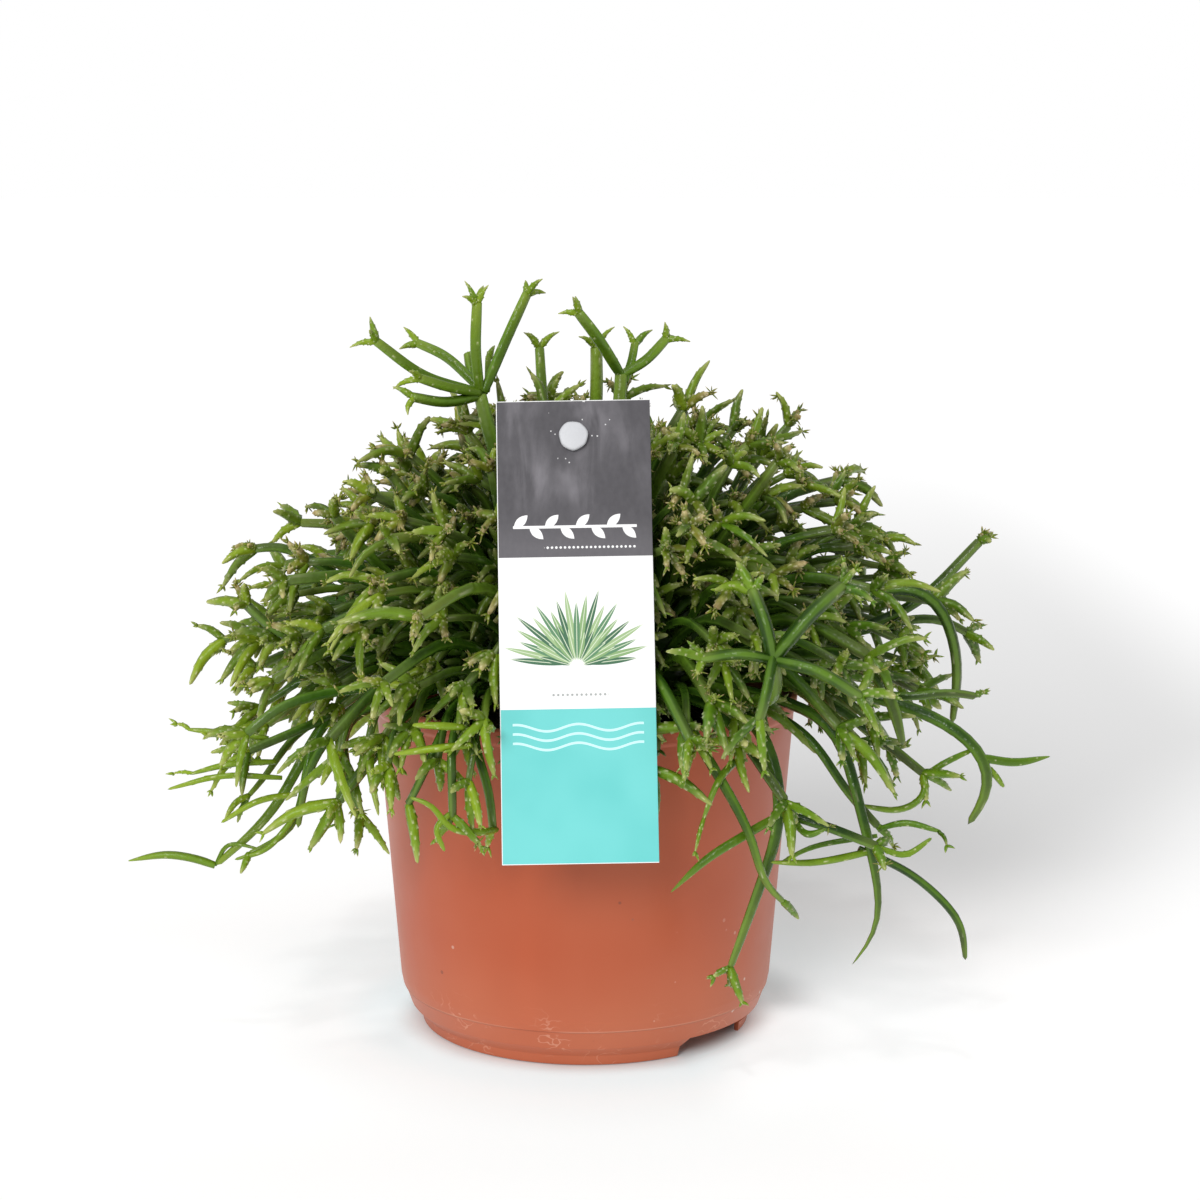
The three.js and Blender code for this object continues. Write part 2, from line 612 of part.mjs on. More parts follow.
function sectorPrism(cell) {
  const { reach } = cells;
  const half = sectorWidth / 2;
  const start = cells.gap / Math.sin(half);
  const outline = new THREE.Shape();
  outline.moveTo(start, 0);
  outline.lineTo(start + reach * Math.cos(half), -reach * Math.sin(half));
  outline.lineTo(start + reach * Math.cos(half), reach * Math.sin(half));
  outline.closePath();
  const depth = cells.top - heart.underside;
  const prism = new THREE.ExtrudeGeometry(outline, { depth, bevelEnabled: false });
  const placed = new THREE.Matrix4().makeRotationZ(sectorMiddle(cell)).setPosition(0, 0, heart.underside);
  return solidOf(prism, placed);
}

// The heart is a mass of short shoots: single corners of its surface stand out as points.
function spikyBall() {
  const ball = new THREE.IcosahedronGeometry(1, heart.detail);
  ball.deleteAttribute('normal');
  ball.deleteAttribute('uv');
  const corners = mergeVertices(ball, 1e-4);
  const position = corners.getAttribute('position');
  const draw = randomStream(heart.seed);
  const raised = [];
  for (let i = 0; i < position.count; i++) {
    const corner = vector(0, 0, 0).fromBufferAttribute(position, i);
    if (raised.some((other) => other.distanceTo(corner) < heart.spikeSpacing)) continue;
    raised.push(corner.clone());
    corner.multiplyScalar(1 + between(heart.spikes, draw()));
    position.setXYZ(i, corner.x, corner.y, corner.z);
  }
  const stretch = new THREE.Matrix4().makeScale(heart.halfWidth, heart.halfWidth, heart.halfHeight);
  return solidOf(corners, stretch.setPosition(0, 0, heart.centre));
}

// The hearts at the front leave room for the stake, which comes down between them.
function stakeNotch() {
  const { middle, back, width, size } = heart.stakeNotch;
  return solidOf(new THREE.BoxGeometry(width, size, size).translate(middle, back - size / 2, heart.centre));
}

function heartOf(cell) {
  const ball = spikyBall();
  if (cell === 0) return ball.intersect(crownCone(0));
  return ball.intersect(sectorPrism(cell)).subtract(crownCone(cells.crownGap)).subtract(stakeNotch());
}

function clusterSolid(cell, shoots, trunks) {
  const [low, high] = [mix.top - trunk.depth, heart.underside + trunk.intoHeart];
  const stems = trunks
    .filter((one) => one.cell === cell)
    .map(({ x, y }) => rod(x, y, low, high, trunk.radius, trunk.sides));
  const tubes = shoots
    .filter((shoot) => shoot.cell === cell)
    .map(({ route, radii, sides }) => tubeSolid(route, radii, sides));
  return fuse([heartOf(cell), ...stems, ...tubes]);
}

// ---------------------------------------------------------------- the plant in its pot

const finishes = {
  pot: new THREE.MeshStandardMaterial({ color: 0xbf5f3e, roughness: 0.42, metalness: 0 }),
  mix: new THREE.MeshStandardMaterial({ color: 0x2b2019, roughness: 0.95, metalness: 0 }),
  shoot: new THREE.MeshStandardMaterial({ color: 0x5d8a2e, roughness: 0.4, metalness: 0 }),
  card: new THREE.MeshStandardMaterial({ color: 0x7fded6, roughness: 0.35, metalness: 0 }),
  stake: new THREE.MeshStandardMaterial({ color: 0xd4d6d8, roughness: 0.4, metalness: 0 }),
};

const plant = new THREE.Group();

function addNode(name, geometry, material) {
  const mesh = new THREE.Mesh(geometry, material);
  mesh.name = name;
  plant.add(mesh);
  return mesh;
}

const trunks = placeTrunks();
const shoots = growShoots();

addNode('nursery_pot', geometryOf(makePot()), finishes.pot);
addNode('potting_mix', geometryOf(makeMix(trunks)), finishes.mix);
cellNames.forEach((name, cell) => {
  addNode(`shoots_${name}`, geometryOf(clusterSolid(cell, shoots, trunks)), finishes.shoot);
});
addNode('label_stake', geometryOf(makeStake()), finishes.stake);

const labelCard = addNode('label_card', makeCard(), finishes.card);
labelCard.position.set(...card.holeAt);
labelCard.rotation.set(-card.lean, card.roll, 0, 'XYZ');

export default plant;
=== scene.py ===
# Mistletoe cactus in its nursery pot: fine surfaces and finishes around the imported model.
# Lengths in the dictionaries are millimetres, and angles are degrees where math.radians doesn't turn
# them; meshes are made in metres.
import math
import bpy
import bmesh
import numpy as np
from mathutils import Matrix, Vector, noise


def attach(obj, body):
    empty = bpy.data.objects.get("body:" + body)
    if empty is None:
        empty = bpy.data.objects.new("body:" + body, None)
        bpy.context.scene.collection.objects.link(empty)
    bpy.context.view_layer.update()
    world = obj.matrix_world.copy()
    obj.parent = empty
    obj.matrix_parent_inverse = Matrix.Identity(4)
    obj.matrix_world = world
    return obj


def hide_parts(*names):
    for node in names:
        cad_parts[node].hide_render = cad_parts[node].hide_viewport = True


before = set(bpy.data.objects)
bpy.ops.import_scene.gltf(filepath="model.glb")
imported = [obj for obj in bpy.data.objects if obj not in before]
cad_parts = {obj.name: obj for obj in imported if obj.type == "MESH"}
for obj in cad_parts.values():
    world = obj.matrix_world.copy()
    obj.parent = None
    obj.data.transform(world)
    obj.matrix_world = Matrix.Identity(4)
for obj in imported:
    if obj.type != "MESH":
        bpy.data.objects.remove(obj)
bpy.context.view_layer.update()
mm = 0.001
up = np.array([0.0, 0.0, 1.0])
acrossX = np.array([1.0, 0.0, 0.0])
goldenAngle = math.pi * (3 - math.sqrt(5))

viewpoint = {  # a long lens, a little above the plant's top
    "eye": (0, -731, 240),
    "pitch": 9.2,
    "lens": 78.03,
    "sensor": 36,
    "shift": 0.01225,
}


def placeCamera():
    data = bpy.data.cameras.new("camera")
    data.sensor_width = viewpoint["sensor"]
    data.lens = viewpoint["lens"]
    data.shift_x = viewpoint["shift"]
    camera = bpy.data.objects.new("camera", data)
    camera.location = Vector(viewpoint["eye"]) * mm
    camera.rotation_euler = (math.radians(90 - viewpoint["pitch"]), 0, 0)
    bpy.context.scene.collection.objects.link(camera)
    bpy.context.scene.camera = camera


placeCamera()
print("camera placed")


class Signal:  # a node's output; arithmetic on it adds Math nodes
    def __init__(self, finish, socket):
        self.finish = finish
        self.socket = socket

    def maths(self, operation, *values):
        return self.finish.node("ShaderNodeMath", {"operation": operation}, dict(enumerate(values)))

    def __add__(self, other):
        return self.maths("ADD", self, other)

    def __radd__(self, other):
        return self.maths("ADD", other, self)

    def __sub__(self, other):
        return self.maths("SUBTRACT", self, other)

    def __rsub__(self, other):
        return self.maths("SUBTRACT", other, self)

    def __mul__(self, other):
        return self.maths("MULTIPLY", self, other)

    def __rmul__(self, other):
        return self.maths("MULTIPLY", other, self)

    def __truediv__(self, other):
        return self.maths("DIVIDE", self, other)

    def __pow__(self, other):
        return self.maths("POWER", self, other)

    def __gt__(self, other):
        return self.maths("GREATER_THAN", self, other)

    def __lt__(self, other):
        return self.maths("LESS_THAN", self, other)

    def absolute(self):
        return self.maths("ABSOLUTE", self)

    def fraction(self):
        return self.maths("FRACT", self)

    def upTo(self, limit):
        return self.maths("MINIMUM", self, limit)

    def orElse(self, other):  # the stronger of two masks
        return self.maths("MAXIMUM", self, other)

    def rise(self, low, high):  # 0 below low, 1 above high, smooth between
        sockets = {0: self, 1: low, 2: high, 3: 0.0, 4: 1.0}
        return self.finish.node("ShaderNodeMapRange", {"interpolation_type": "SMOOTHSTEP"}, sockets)


class Finish:  # a material around its Principled shader
    def __init__(self, name, **fixed):
        self.material = bpy.data.materials.new(name)
        self.material.use_nodes = True
        self.tree = self.material.node_tree
        self.shader = self.tree.nodes["Principled BSDF"]
        for name, value in fixed.items():
            self.set(name.replace("_", " "), value)

    def node(self, kind, settings=None, sockets=None, out=0):
        made = self.tree.nodes.new(kind)
        for name, value in (settings or {}).items():
            setattr(made, name, value)
        for key, value in (sockets or {}).items():
            self.feed(made.inputs[key], value)
        return Signal(self, made.outputs[out])

    def feed(self, socket, value):
        if isinstance(value, Signal):
            self.tree.links.new(value.socket, socket)
        elif socket.type == "RGBA" and len(value) == 3:
            socket.default_value = (*value, 1.0)
        else:
            socket.default_value = value

    def set(self, name, value):
        self.feed(self.shader.inputs[name], value)

    def place(self):
        return self.node("ShaderNodeTexCoord", out="Object")

    def split(self, vector):
        parts = self.node("ShaderNodeSeparateXYZ", sockets={0: vector})
        return [Signal(self, output) for output in parts.socket.node.outputs]

    def attribute(self, name):  # the four channels of a colour attribute
        colour = self.node("ShaderNodeAttribute", {"attribute_name": name}, out="Color")
        parts = self.node("ShaderNodeSeparateColor", sockets={0: colour})
        channels = [Signal(self, output) for output in parts.socket.node.outputs]
        return [*channels, Signal(self, colour.socket.node.outputs["Alpha"])]

    def noise(self, place, scale, detail=2.0):
        return self.node("ShaderNodeTexNoise", sockets={"Vector": place, "Scale": scale, "Detail": detail})

    def stretch(self, vector, scale):
        return self.node("ShaderNodeMapping", sockets={"Vector": vector, "Scale": scale})

    def mix(self, factor, first, second):
        return self.node("ShaderNodeMix", {"data_type": "RGBA"}, {0: factor, 6: first, 7: second}, out=2)

    def bump(self, height, distance, strength=1.0):
        sockets = {"Height": height, "Distance": distance, "Strength": strength}
        self.set("Normal", self.node("ShaderNodeBump", sockets=sockets))


def paint(red, green, blue):  # screen values 0-255 to linear light
    def linear(value):
        share = value / 255
        return share / 12.92 if share <= 0.04045 else ((share + 0.055) / 1.055) ** 2.4
    return tuple(linear(value) for value in (red, green, blue))


def meshFrom(bm, name):
    bmesh.ops.remove_doubles(bm, verts=bm.verts, dist=1e-6)
    bmesh.ops.recalc_face_normals(bm, faces=bm.faces)
    mesh = bpy.data.meshes.new(name)
    bm.to_mesh(mesh)
    bm.free()
    return mesh


def showPiece(mesh, material, slot, *nodes):
    mesh.materials.clear()
    mesh.materials.append(material)
    piece = bpy.data.objects.new(mesh.name, mesh)
    bpy.context.scene.collection.objects.link(piece)
    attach(piece, "root")
    if nodes:
        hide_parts(*nodes)
    return piece


def smoothShading(mesh, sharpAngle=None):
    mesh.shade_smooth()
    if sharpAngle is not None:
        mesh.set_sharp_from_angle(angle=math.radians(sharpAngle))


def settled(mesh, *modifiers):  # the mesh with its modifiers applied
    piece = bpy.data.objects.new(mesh.name, mesh)
    bpy.context.scene.collection.objects.link(piece)
    for kind, settings in modifiers:
        added = piece.modifiers.new(kind.lower(), kind)
        for name, value in settings.items():
            setattr(added, name, value)
    graph = bpy.context.evaluated_depsgraph_get()
    done = bpy.data.meshes.new_from_object(piece.evaluated_get(graph))
    done.name = mesh.name + "Done"
    bpy.data.objects.remove(piece)
    return done


def cutterFrom(bm, name):  # a hidden object for a Boolean modifier
    cutter = bpy.data.objects.new(name, meshFrom(bm, name))
    bpy.context.scene.collection.objects.link(cutter)
    return cutter


def roundedProfile(corners, radius=0.35):  # a wire of (radius, height) corners, rounded
    bm = bmesh.new()
    verts = [bm.verts.new((x * mm, 0, z * mm)) for x, z in corners]
    for pair in zip(verts, verts[1:]):
        bm.edges.new(pair)
    inner = verts[1:-1]
    bmesh.ops.bevel(bm, geom=inner, offset=radius * mm, offset_type="OFFSET", affect="VERTICES",
                    segments=3, profile=0.5, material=-1)
    return bm


def spunSolid(corners, steps, radius=0.35):
    bm = roundedProfile(corners, radius)
    geometry = [*bm.verts, *bm.edges]
    bmesh.ops.spin(bm, geom=geometry, cent=(0, 0, 0), axis=(0, 0, 1), angle=2 * math.pi,
                   steps=steps, use_merge=True, use_duplicate=False)
    return bm


pot = {
    "height": 96,
    "rimRadius": 60,
    "rimBead": 0.6,
    "rimDepth": 5,
    "shoulderRadius": 53.4,
    "shoulderHeight": 14,
    "floorHeight": 6,
    "wall": 1.2,
    "footOutside": ((47.2, 0), (47.6, 2.8), (50.6, 5.7), (52.4, 10.8), (52.8, 11)),
    "footInside": ((45.8, 0), (46.2, 3), (48, 6)),
    "bowl": ((48.8, 7.8), (52, 13)),
    "bowlFlat": 1,  # from the bowl's lowest corner to the flat of the floor
    "beadSlope": 0.8,
    "lipDrop": 0.6,
    "lipWidth": 1,
    "steps": 160,
    "gateAngles": (-40, 60, 160),
    "gateWidth": (28.4, 26.4),
    "gateHeight": 5.8,
    "gateReach": (38, 58),
    "drainCircle": 36,
    "drainRadius": 3.5,
    "drainSteps": 24,
    "drains": 6,
    "edge": 0.25,
    "shoulderLine": 11.1,
    "plastic": paint(179, 80, 42),
    "plasticPaleAndSheen": paint(191, 104, 70),
    "scuff": paint(216, 152, 126),
    "grit": paint(120, 62, 44),
    "chip": paint(232, 205, 190),
    "roughness": 0.36,
    "scratchWidth": (0.004, 0.016),
    "scuffedBelow": (9, 20),
    # heights over which the foot's painted sheen, paler, fades out
    "footSheenBelow": (8, 36),
    "chippedBelow": (12, 50),
    "gritSize": (0.05, 0.09),
}


def wallRadius(height):
    share = (height - pot["shoulderHeight"]) / (pot["height"] - pot["shoulderHeight"])
    return pot["shoulderRadius"] + (pot["rimRadius"] - pot["shoulderRadius"]) * max(share, 0)


def potCorners():
    height, wall, bead, floor = pot["height"], pot["wall"], pot["rimBead"], pot["floorHeight"]
    beadFoot = height - pot["rimDepth"]
    return [
        (0, floor), *reversed(pot["footInside"]), *pot["footOutside"],
        (pot["shoulderRadius"], pot["shoulderHeight"]),
        (wallRadius(beadFoot), beadFoot), (wallRadius(beadFoot) + bead, beadFoot + pot["beadSlope"]),
        (pot["rimRadius"] + bead, height - pot["lipDrop"]), (pot["rimRadius"], height),
        (pot["rimRadius"] - pot["lipWidth"], height), *reversed(pot["bowl"]),
        (pot["bowl"][0][0] - pot["bowlFlat"], floor + wall), (0, floor + wall),
    ]


def potCutter():
    bm = bmesh.new()
    near, far = pot["gateReach"]
    wide, narrow = pot["gateWidth"]
    for angle in pot["gateAngles"]:
        turn = Matrix.Rotation(math.radians(angle), 4, "Z")
        gate = bmesh.ops.create_cube(bm, size=1)["verts"]
        for vert in gate:  # wider at the ground, as the moulding's draft leaves it
            high = vert.co.z > 0
            across = (narrow if high else wide) * vert.co.y
            x = near if vert.co.x < 0 else far
            vert.co = turn @ (Vector((x, across, pot["gateHeight"] if high else -1)) * mm)
    for i in range(pot["drains"]):
        angle = i / pot["drains"] * 2 * math.pi
        x, y = pot["drainCircle"] * math.cos(angle), pot["drainCircle"] * math.sin(angle)
        spot = Matrix.Translation(Vector((x, y, pot["floorHeight"] + pot["wall"] / 2)) * mm)
        bmesh.ops.create_cone(bm, cap_ends=True, segments=pot["drainSteps"], matrix=spot, depth=3 * mm,
                              radius1=pot["drainRadius"] * mm, radius2=pot["drainRadius"] * mm)
    return cutterFrom(bm, "gateCutter")


def potPlastic():
    skin = Finish("terracottaPlastic", IOR=1.48)
    place = skin.place()
    height = skin.split(place)[2] * (1 / mm)
    cloud = skin.noise(place, 18, 3)
    # random clouds of paler tone, and a painted sheen that makes the foot paler
    paleMottleAndFootSheen = cloud.rise(0.3, 0.75) * 0.35 + (1 - height.rise(*pot["footSheenBelow"])) * 0.6
    colour = skin.mix(paleMottleAndFootSheen, pot["plastic"], pot["plasticPaleAndSheen"])
    # thin curved scratches round the foot, a pale worn shoulder line and a few specks
    scratch = (skin.noise(skin.stretch(place, (1, 1, 1.4)), 150, 2) - 0.5).absolute()
    worn = (1 - height.rise(*pot["scuffedBelow"])) * skin.noise(place, 85, 2).rise(0.5, 0.6)
    lines = (1 - scratch.rise(*pot["scratchWidth"])) * worn
    shoulderLine = 1 - (height - pot["shoulderLine"]).absolute().rise(0.1, 0.4)
    shoulder = shoulderLine * skin.noise(place, 45, 2).rise(0.3, 0.55)
    lip = height.rise(pot["height"] - 0.9, pot["height"] - 0.2) * 0.35
    marks = (lines * 0.6 + shoulder * 0.55 + lip).upTo(1.0)
    colour = skin.mix(marks, colour, pot["scuff"])
    cell = skin.node("ShaderNodeTexVoronoi", sockets={"Vector": place, "Scale": 130.0}, out="Distance")
    speck = 1 - cell.rise(*pot["gritSize"])
    grit = speck * skin.noise(place, 33, 1).rise(0.62, 0.66)
    colour = skin.mix(grit * 0.7, colour, pot["grit"])
    chips = speck * skin.noise(place, 21, 1).rise(0.56, 0.6) * (1 - height.rise(*pot["chippedBelow"]))
    colour = skin.mix(chips * 0.8, colour, pot["chip"])
    skin.set("Base Color", colour)
    skin.set("Roughness", pot["roughness"] + skin.noise(place, 90, 3) * 0.12 + marks * 0.2)
    ripple = skin.noise(skin.stretch(place, (1, 1, 0.25)), 35, 2)
    skin.bump(ripple + skin.noise(place, 900, 2) * 0.05, 0.0005, 0.35)
    return skin.material


def makePot():
    cutter = potCutter()
    rough = meshFrom(spunSolid(potCorners(), pot["steps"]), "nurseryPot")
    cut = {"object": cutter, "operation": "DIFFERENCE", "solver": "EXACT"}
    bevel = {"width": pot["edge"] * mm, "segments": 2, "limit_method": "ANGLE",
             "angle_limit": math.radians(50), "use_clamp_overlap": True}
    mesh = settled(rough, ("BOOLEAN", cut), ("BEVEL", bevel))
    bpy.data.objects.remove(cutter)
    mesh.name = "nurseryPot"
    smoothShading(mesh, 35)
    showPiece(mesh, potPlastic(), "pot", "nursery_pot")


makePot()
print("pot made")

mix = {
    "top": 86,
    "crown": 3,
    "crownRadius": 30,
    "crownEase": 0.6,
    "edgeWidth": 3,
    "edgeDrop": 1.5,
    "gap": 0.4,
    "steps": 120,
    "rings": 34,
    "grain": 0.9,
    "crumbs": 520,
    "crumbSize": (0.7, 1.9),
    "crumbsFromWall": 6,
    "seed": 12,
    "peat": paint(52, 38, 28),
    "peatPale": paint(104, 78, 56),
    "damp": paint(30, 22, 17),
}


def mixHeight(radius):
    edge = wallRadius(mix["top"]) - pot["wall"] - 2 * mix["gap"]
    crown = mix["top"] + mix["crown"] * mix["crownEase"]
    return float(np.interp(radius, [0, mix["crownRadius"], edge - mix["edgeWidth"], edge],
                           [mix["top"] + mix["crown"], crown, mix["top"], mix["top"] - mix["edgeDrop"]]))


def mixCorners():
    low, room = pot["floorHeight"] + pot["wall"] + mix["gap"], 2 * mix["gap"]
    edge = wallRadius(mix["top"]) - pot["wall"] - room
    wall = [(radius - room, height) for radius, height in pot["bowl"]]
    radii = [edge * i / mix["rings"] for i in range(mix["rings"], -1, -1)]
    top = [(radius, mixHeight(radius)) for radius in radii]
    return [(0, low), (pot["bowl"][0][0] - pot["bowlFlat"] - mix["gap"], low), *wall, *top]


def peatMix():
    skin = Finish("peat", Roughness=0.95, IOR=1.3)
    place = skin.place()
    fleck = skin.noise(place, 420, 4)
    colour = skin.mix(fleck.rise(0.42, 0.7), mix["peat"], mix["peatPale"])
    skin.set("Base Color", skin.mix(skin.noise(place, 90, 2).rise(0.35, 0.6), mix["damp"], colour))
    skin.bump(fleck, 0.0008)
    return skin.material


def makeMix():
    bm = spunSolid(mixCorners(), mix["steps"], 0.01)
    bmesh.ops.remove_doubles(bm, verts=bm.verts, dist=1e-6)
    for vert in bm.verts:
        radius = math.hypot(vert.co.x, vert.co.y) / mm
        if vert.co.z > (mix["top"] - 2) * mm and radius < wallRadius(mix["top"]) - mix["edgeWidth"]:
            lift = noise.noise(vert.co * 420) + 0.5 * noise.noise(vert.co * 1100)
            vert.co.z += lift * mix["grain"] * mm
    draw = randomStream(mix["seed"])
    crumbReach = wallRadius(mix["top"]) - mix["crumbsFromWall"]
    for _ in range(mix["crumbs"]):
        radius, angle = crumbReach * math.sqrt(draw()), draw() * 2 * math.pi
        size = between(mix["crumbSize"], draw())
        x, y = radius * math.cos(angle), radius * math.sin(angle)
        at = Vector((x, y, mixHeight(radius) + size * 0.3)) * mm
        shape = Matrix.Translation(at) @ Matrix.Rotation(draw() * 3, 4, "X") @ Matrix.Diagonal(
            (size * mm, size * mm * (0.5 + draw() * 0.4), size * mm * 0.6, 1))
        bmesh.ops.create_icosphere(bm, subdivisions=1, radius=1, matrix=shape)
    mesh = meshFrom(bm, "pottingMix")
    smoothShading(mesh)
    showPiece(mesh, peatMix(), "mix", "potting_mix")


# The shoots grow by the same rules as the solids they stand for.
cells = {"origin": 86, "crownPolar": math.radians(36), "sectors": 6, "gap": 0.5, "crownGap": 0.4,
         "sideGap": 1}
heart = {"centre": 106, "halfWidth": 54, "halfHeight": 46, "underside": 99.5}
dome = {"centre": 100, "halfWidth": 98, "halfHeight": 79}
clear = {"card": 1.6, "pot": 1.4, "insideRim": 8, "slack": 0.9}
trunk = {"radius": 2.2, "depth": 30, "intoHeart": 6, "crownCircle": 5, "crownStems": 3,
         "sideCircles": (28, 38), "fan": math.radians(22)}

card = {
    "width": 40,
    "height": 120,
    "thickness": 0.6,
    "holeRadius": 2.4,
    "holeBelowTop": 9.5,
    "holeSteps": 48,
    "edge": 0.08,
    "holeAt": np.array([-3.1, -57.4, 173.9]),
    "lean": math.radians(16.4),
    "roll": math.radians(-1),
}
stake = {
    "width": 4,
    "thickness": 1.4,
    "behindCard": 1.2,
    "neckRadius": 1.7,
    "headRadius": 3.75,
    "headHeight": 1.5,
    "headSteps": 64,
    "headGap": 0.3,
    "bends": 28,
    "bow": ((0, 5), (0.6, -16), (5, -42), (23, -73.5), (46, -120)),  # behind the card, along it
    "grey": paint(206, 207, 210),
    "greyDeep": paint(190, 191, 195),
}


def turnMatrix(angle, first, second):  # a turn in the plane of two axes, kept in doubles
    turn = np.eye(3)
    turn[first, first] = turn[second, second] = math.cos(angle)
    turn[first, second], turn[second, first] = -math.sin(angle), math.sin(angle)
    return turn


cardTurn = turnMatrix(-card["lean"], 1, 2) @ turnMatrix(card["roll"], 2, 0)

wholeFinger = {"radius": 1.8, "length": (9, 15), "opening": (24, 68), "sag": 0.14, "room": 1.26,
               "clearance": 0.5, "free": 4.5, "tries": 4}
mainWhorls = {"count": 92, "seed": 4100, "lowest": math.radians(109), "scatter": 0.5,
              "crowding": 1.2, "reach": (0.84, 1.06), "limb": (1.8, 2.2), "rootShare": 0.44,
              "jitter": 12, "arch": 10, "fingers": (3, 4), "finger": wholeFinger,
              "clearance": 0.5, "tries": 4, "inCells": True}
slimFinger = {"radius": 1.1, "length": (7, 14), "opening": (22, 78), "sag": 0.16, "room": 0.7,
              "clearance": 0.1, "free": 3.5, "tries": 3}
fillWhorls = {"count": 410, "seed": 9100, "lowest": math.radians(98), "scatter": 0.9,
              "crowding": 1.1, "reach": (0.62, 0.98), "limb": (1.3, 1.75), "rootShare": 0.62,
              "jitter": 14, "arch": 5, "fingers": (4, 6), "finger": slimFinger,
              "clearance": -0.2, "tries": 3, "inCells": False}
leaderSeed, leaderStep, whorlStep = 7300, 31, 17
spacing = 2.4  # between the points that keep shoots apart
widest = 2.2  # radius of the thickest shoot
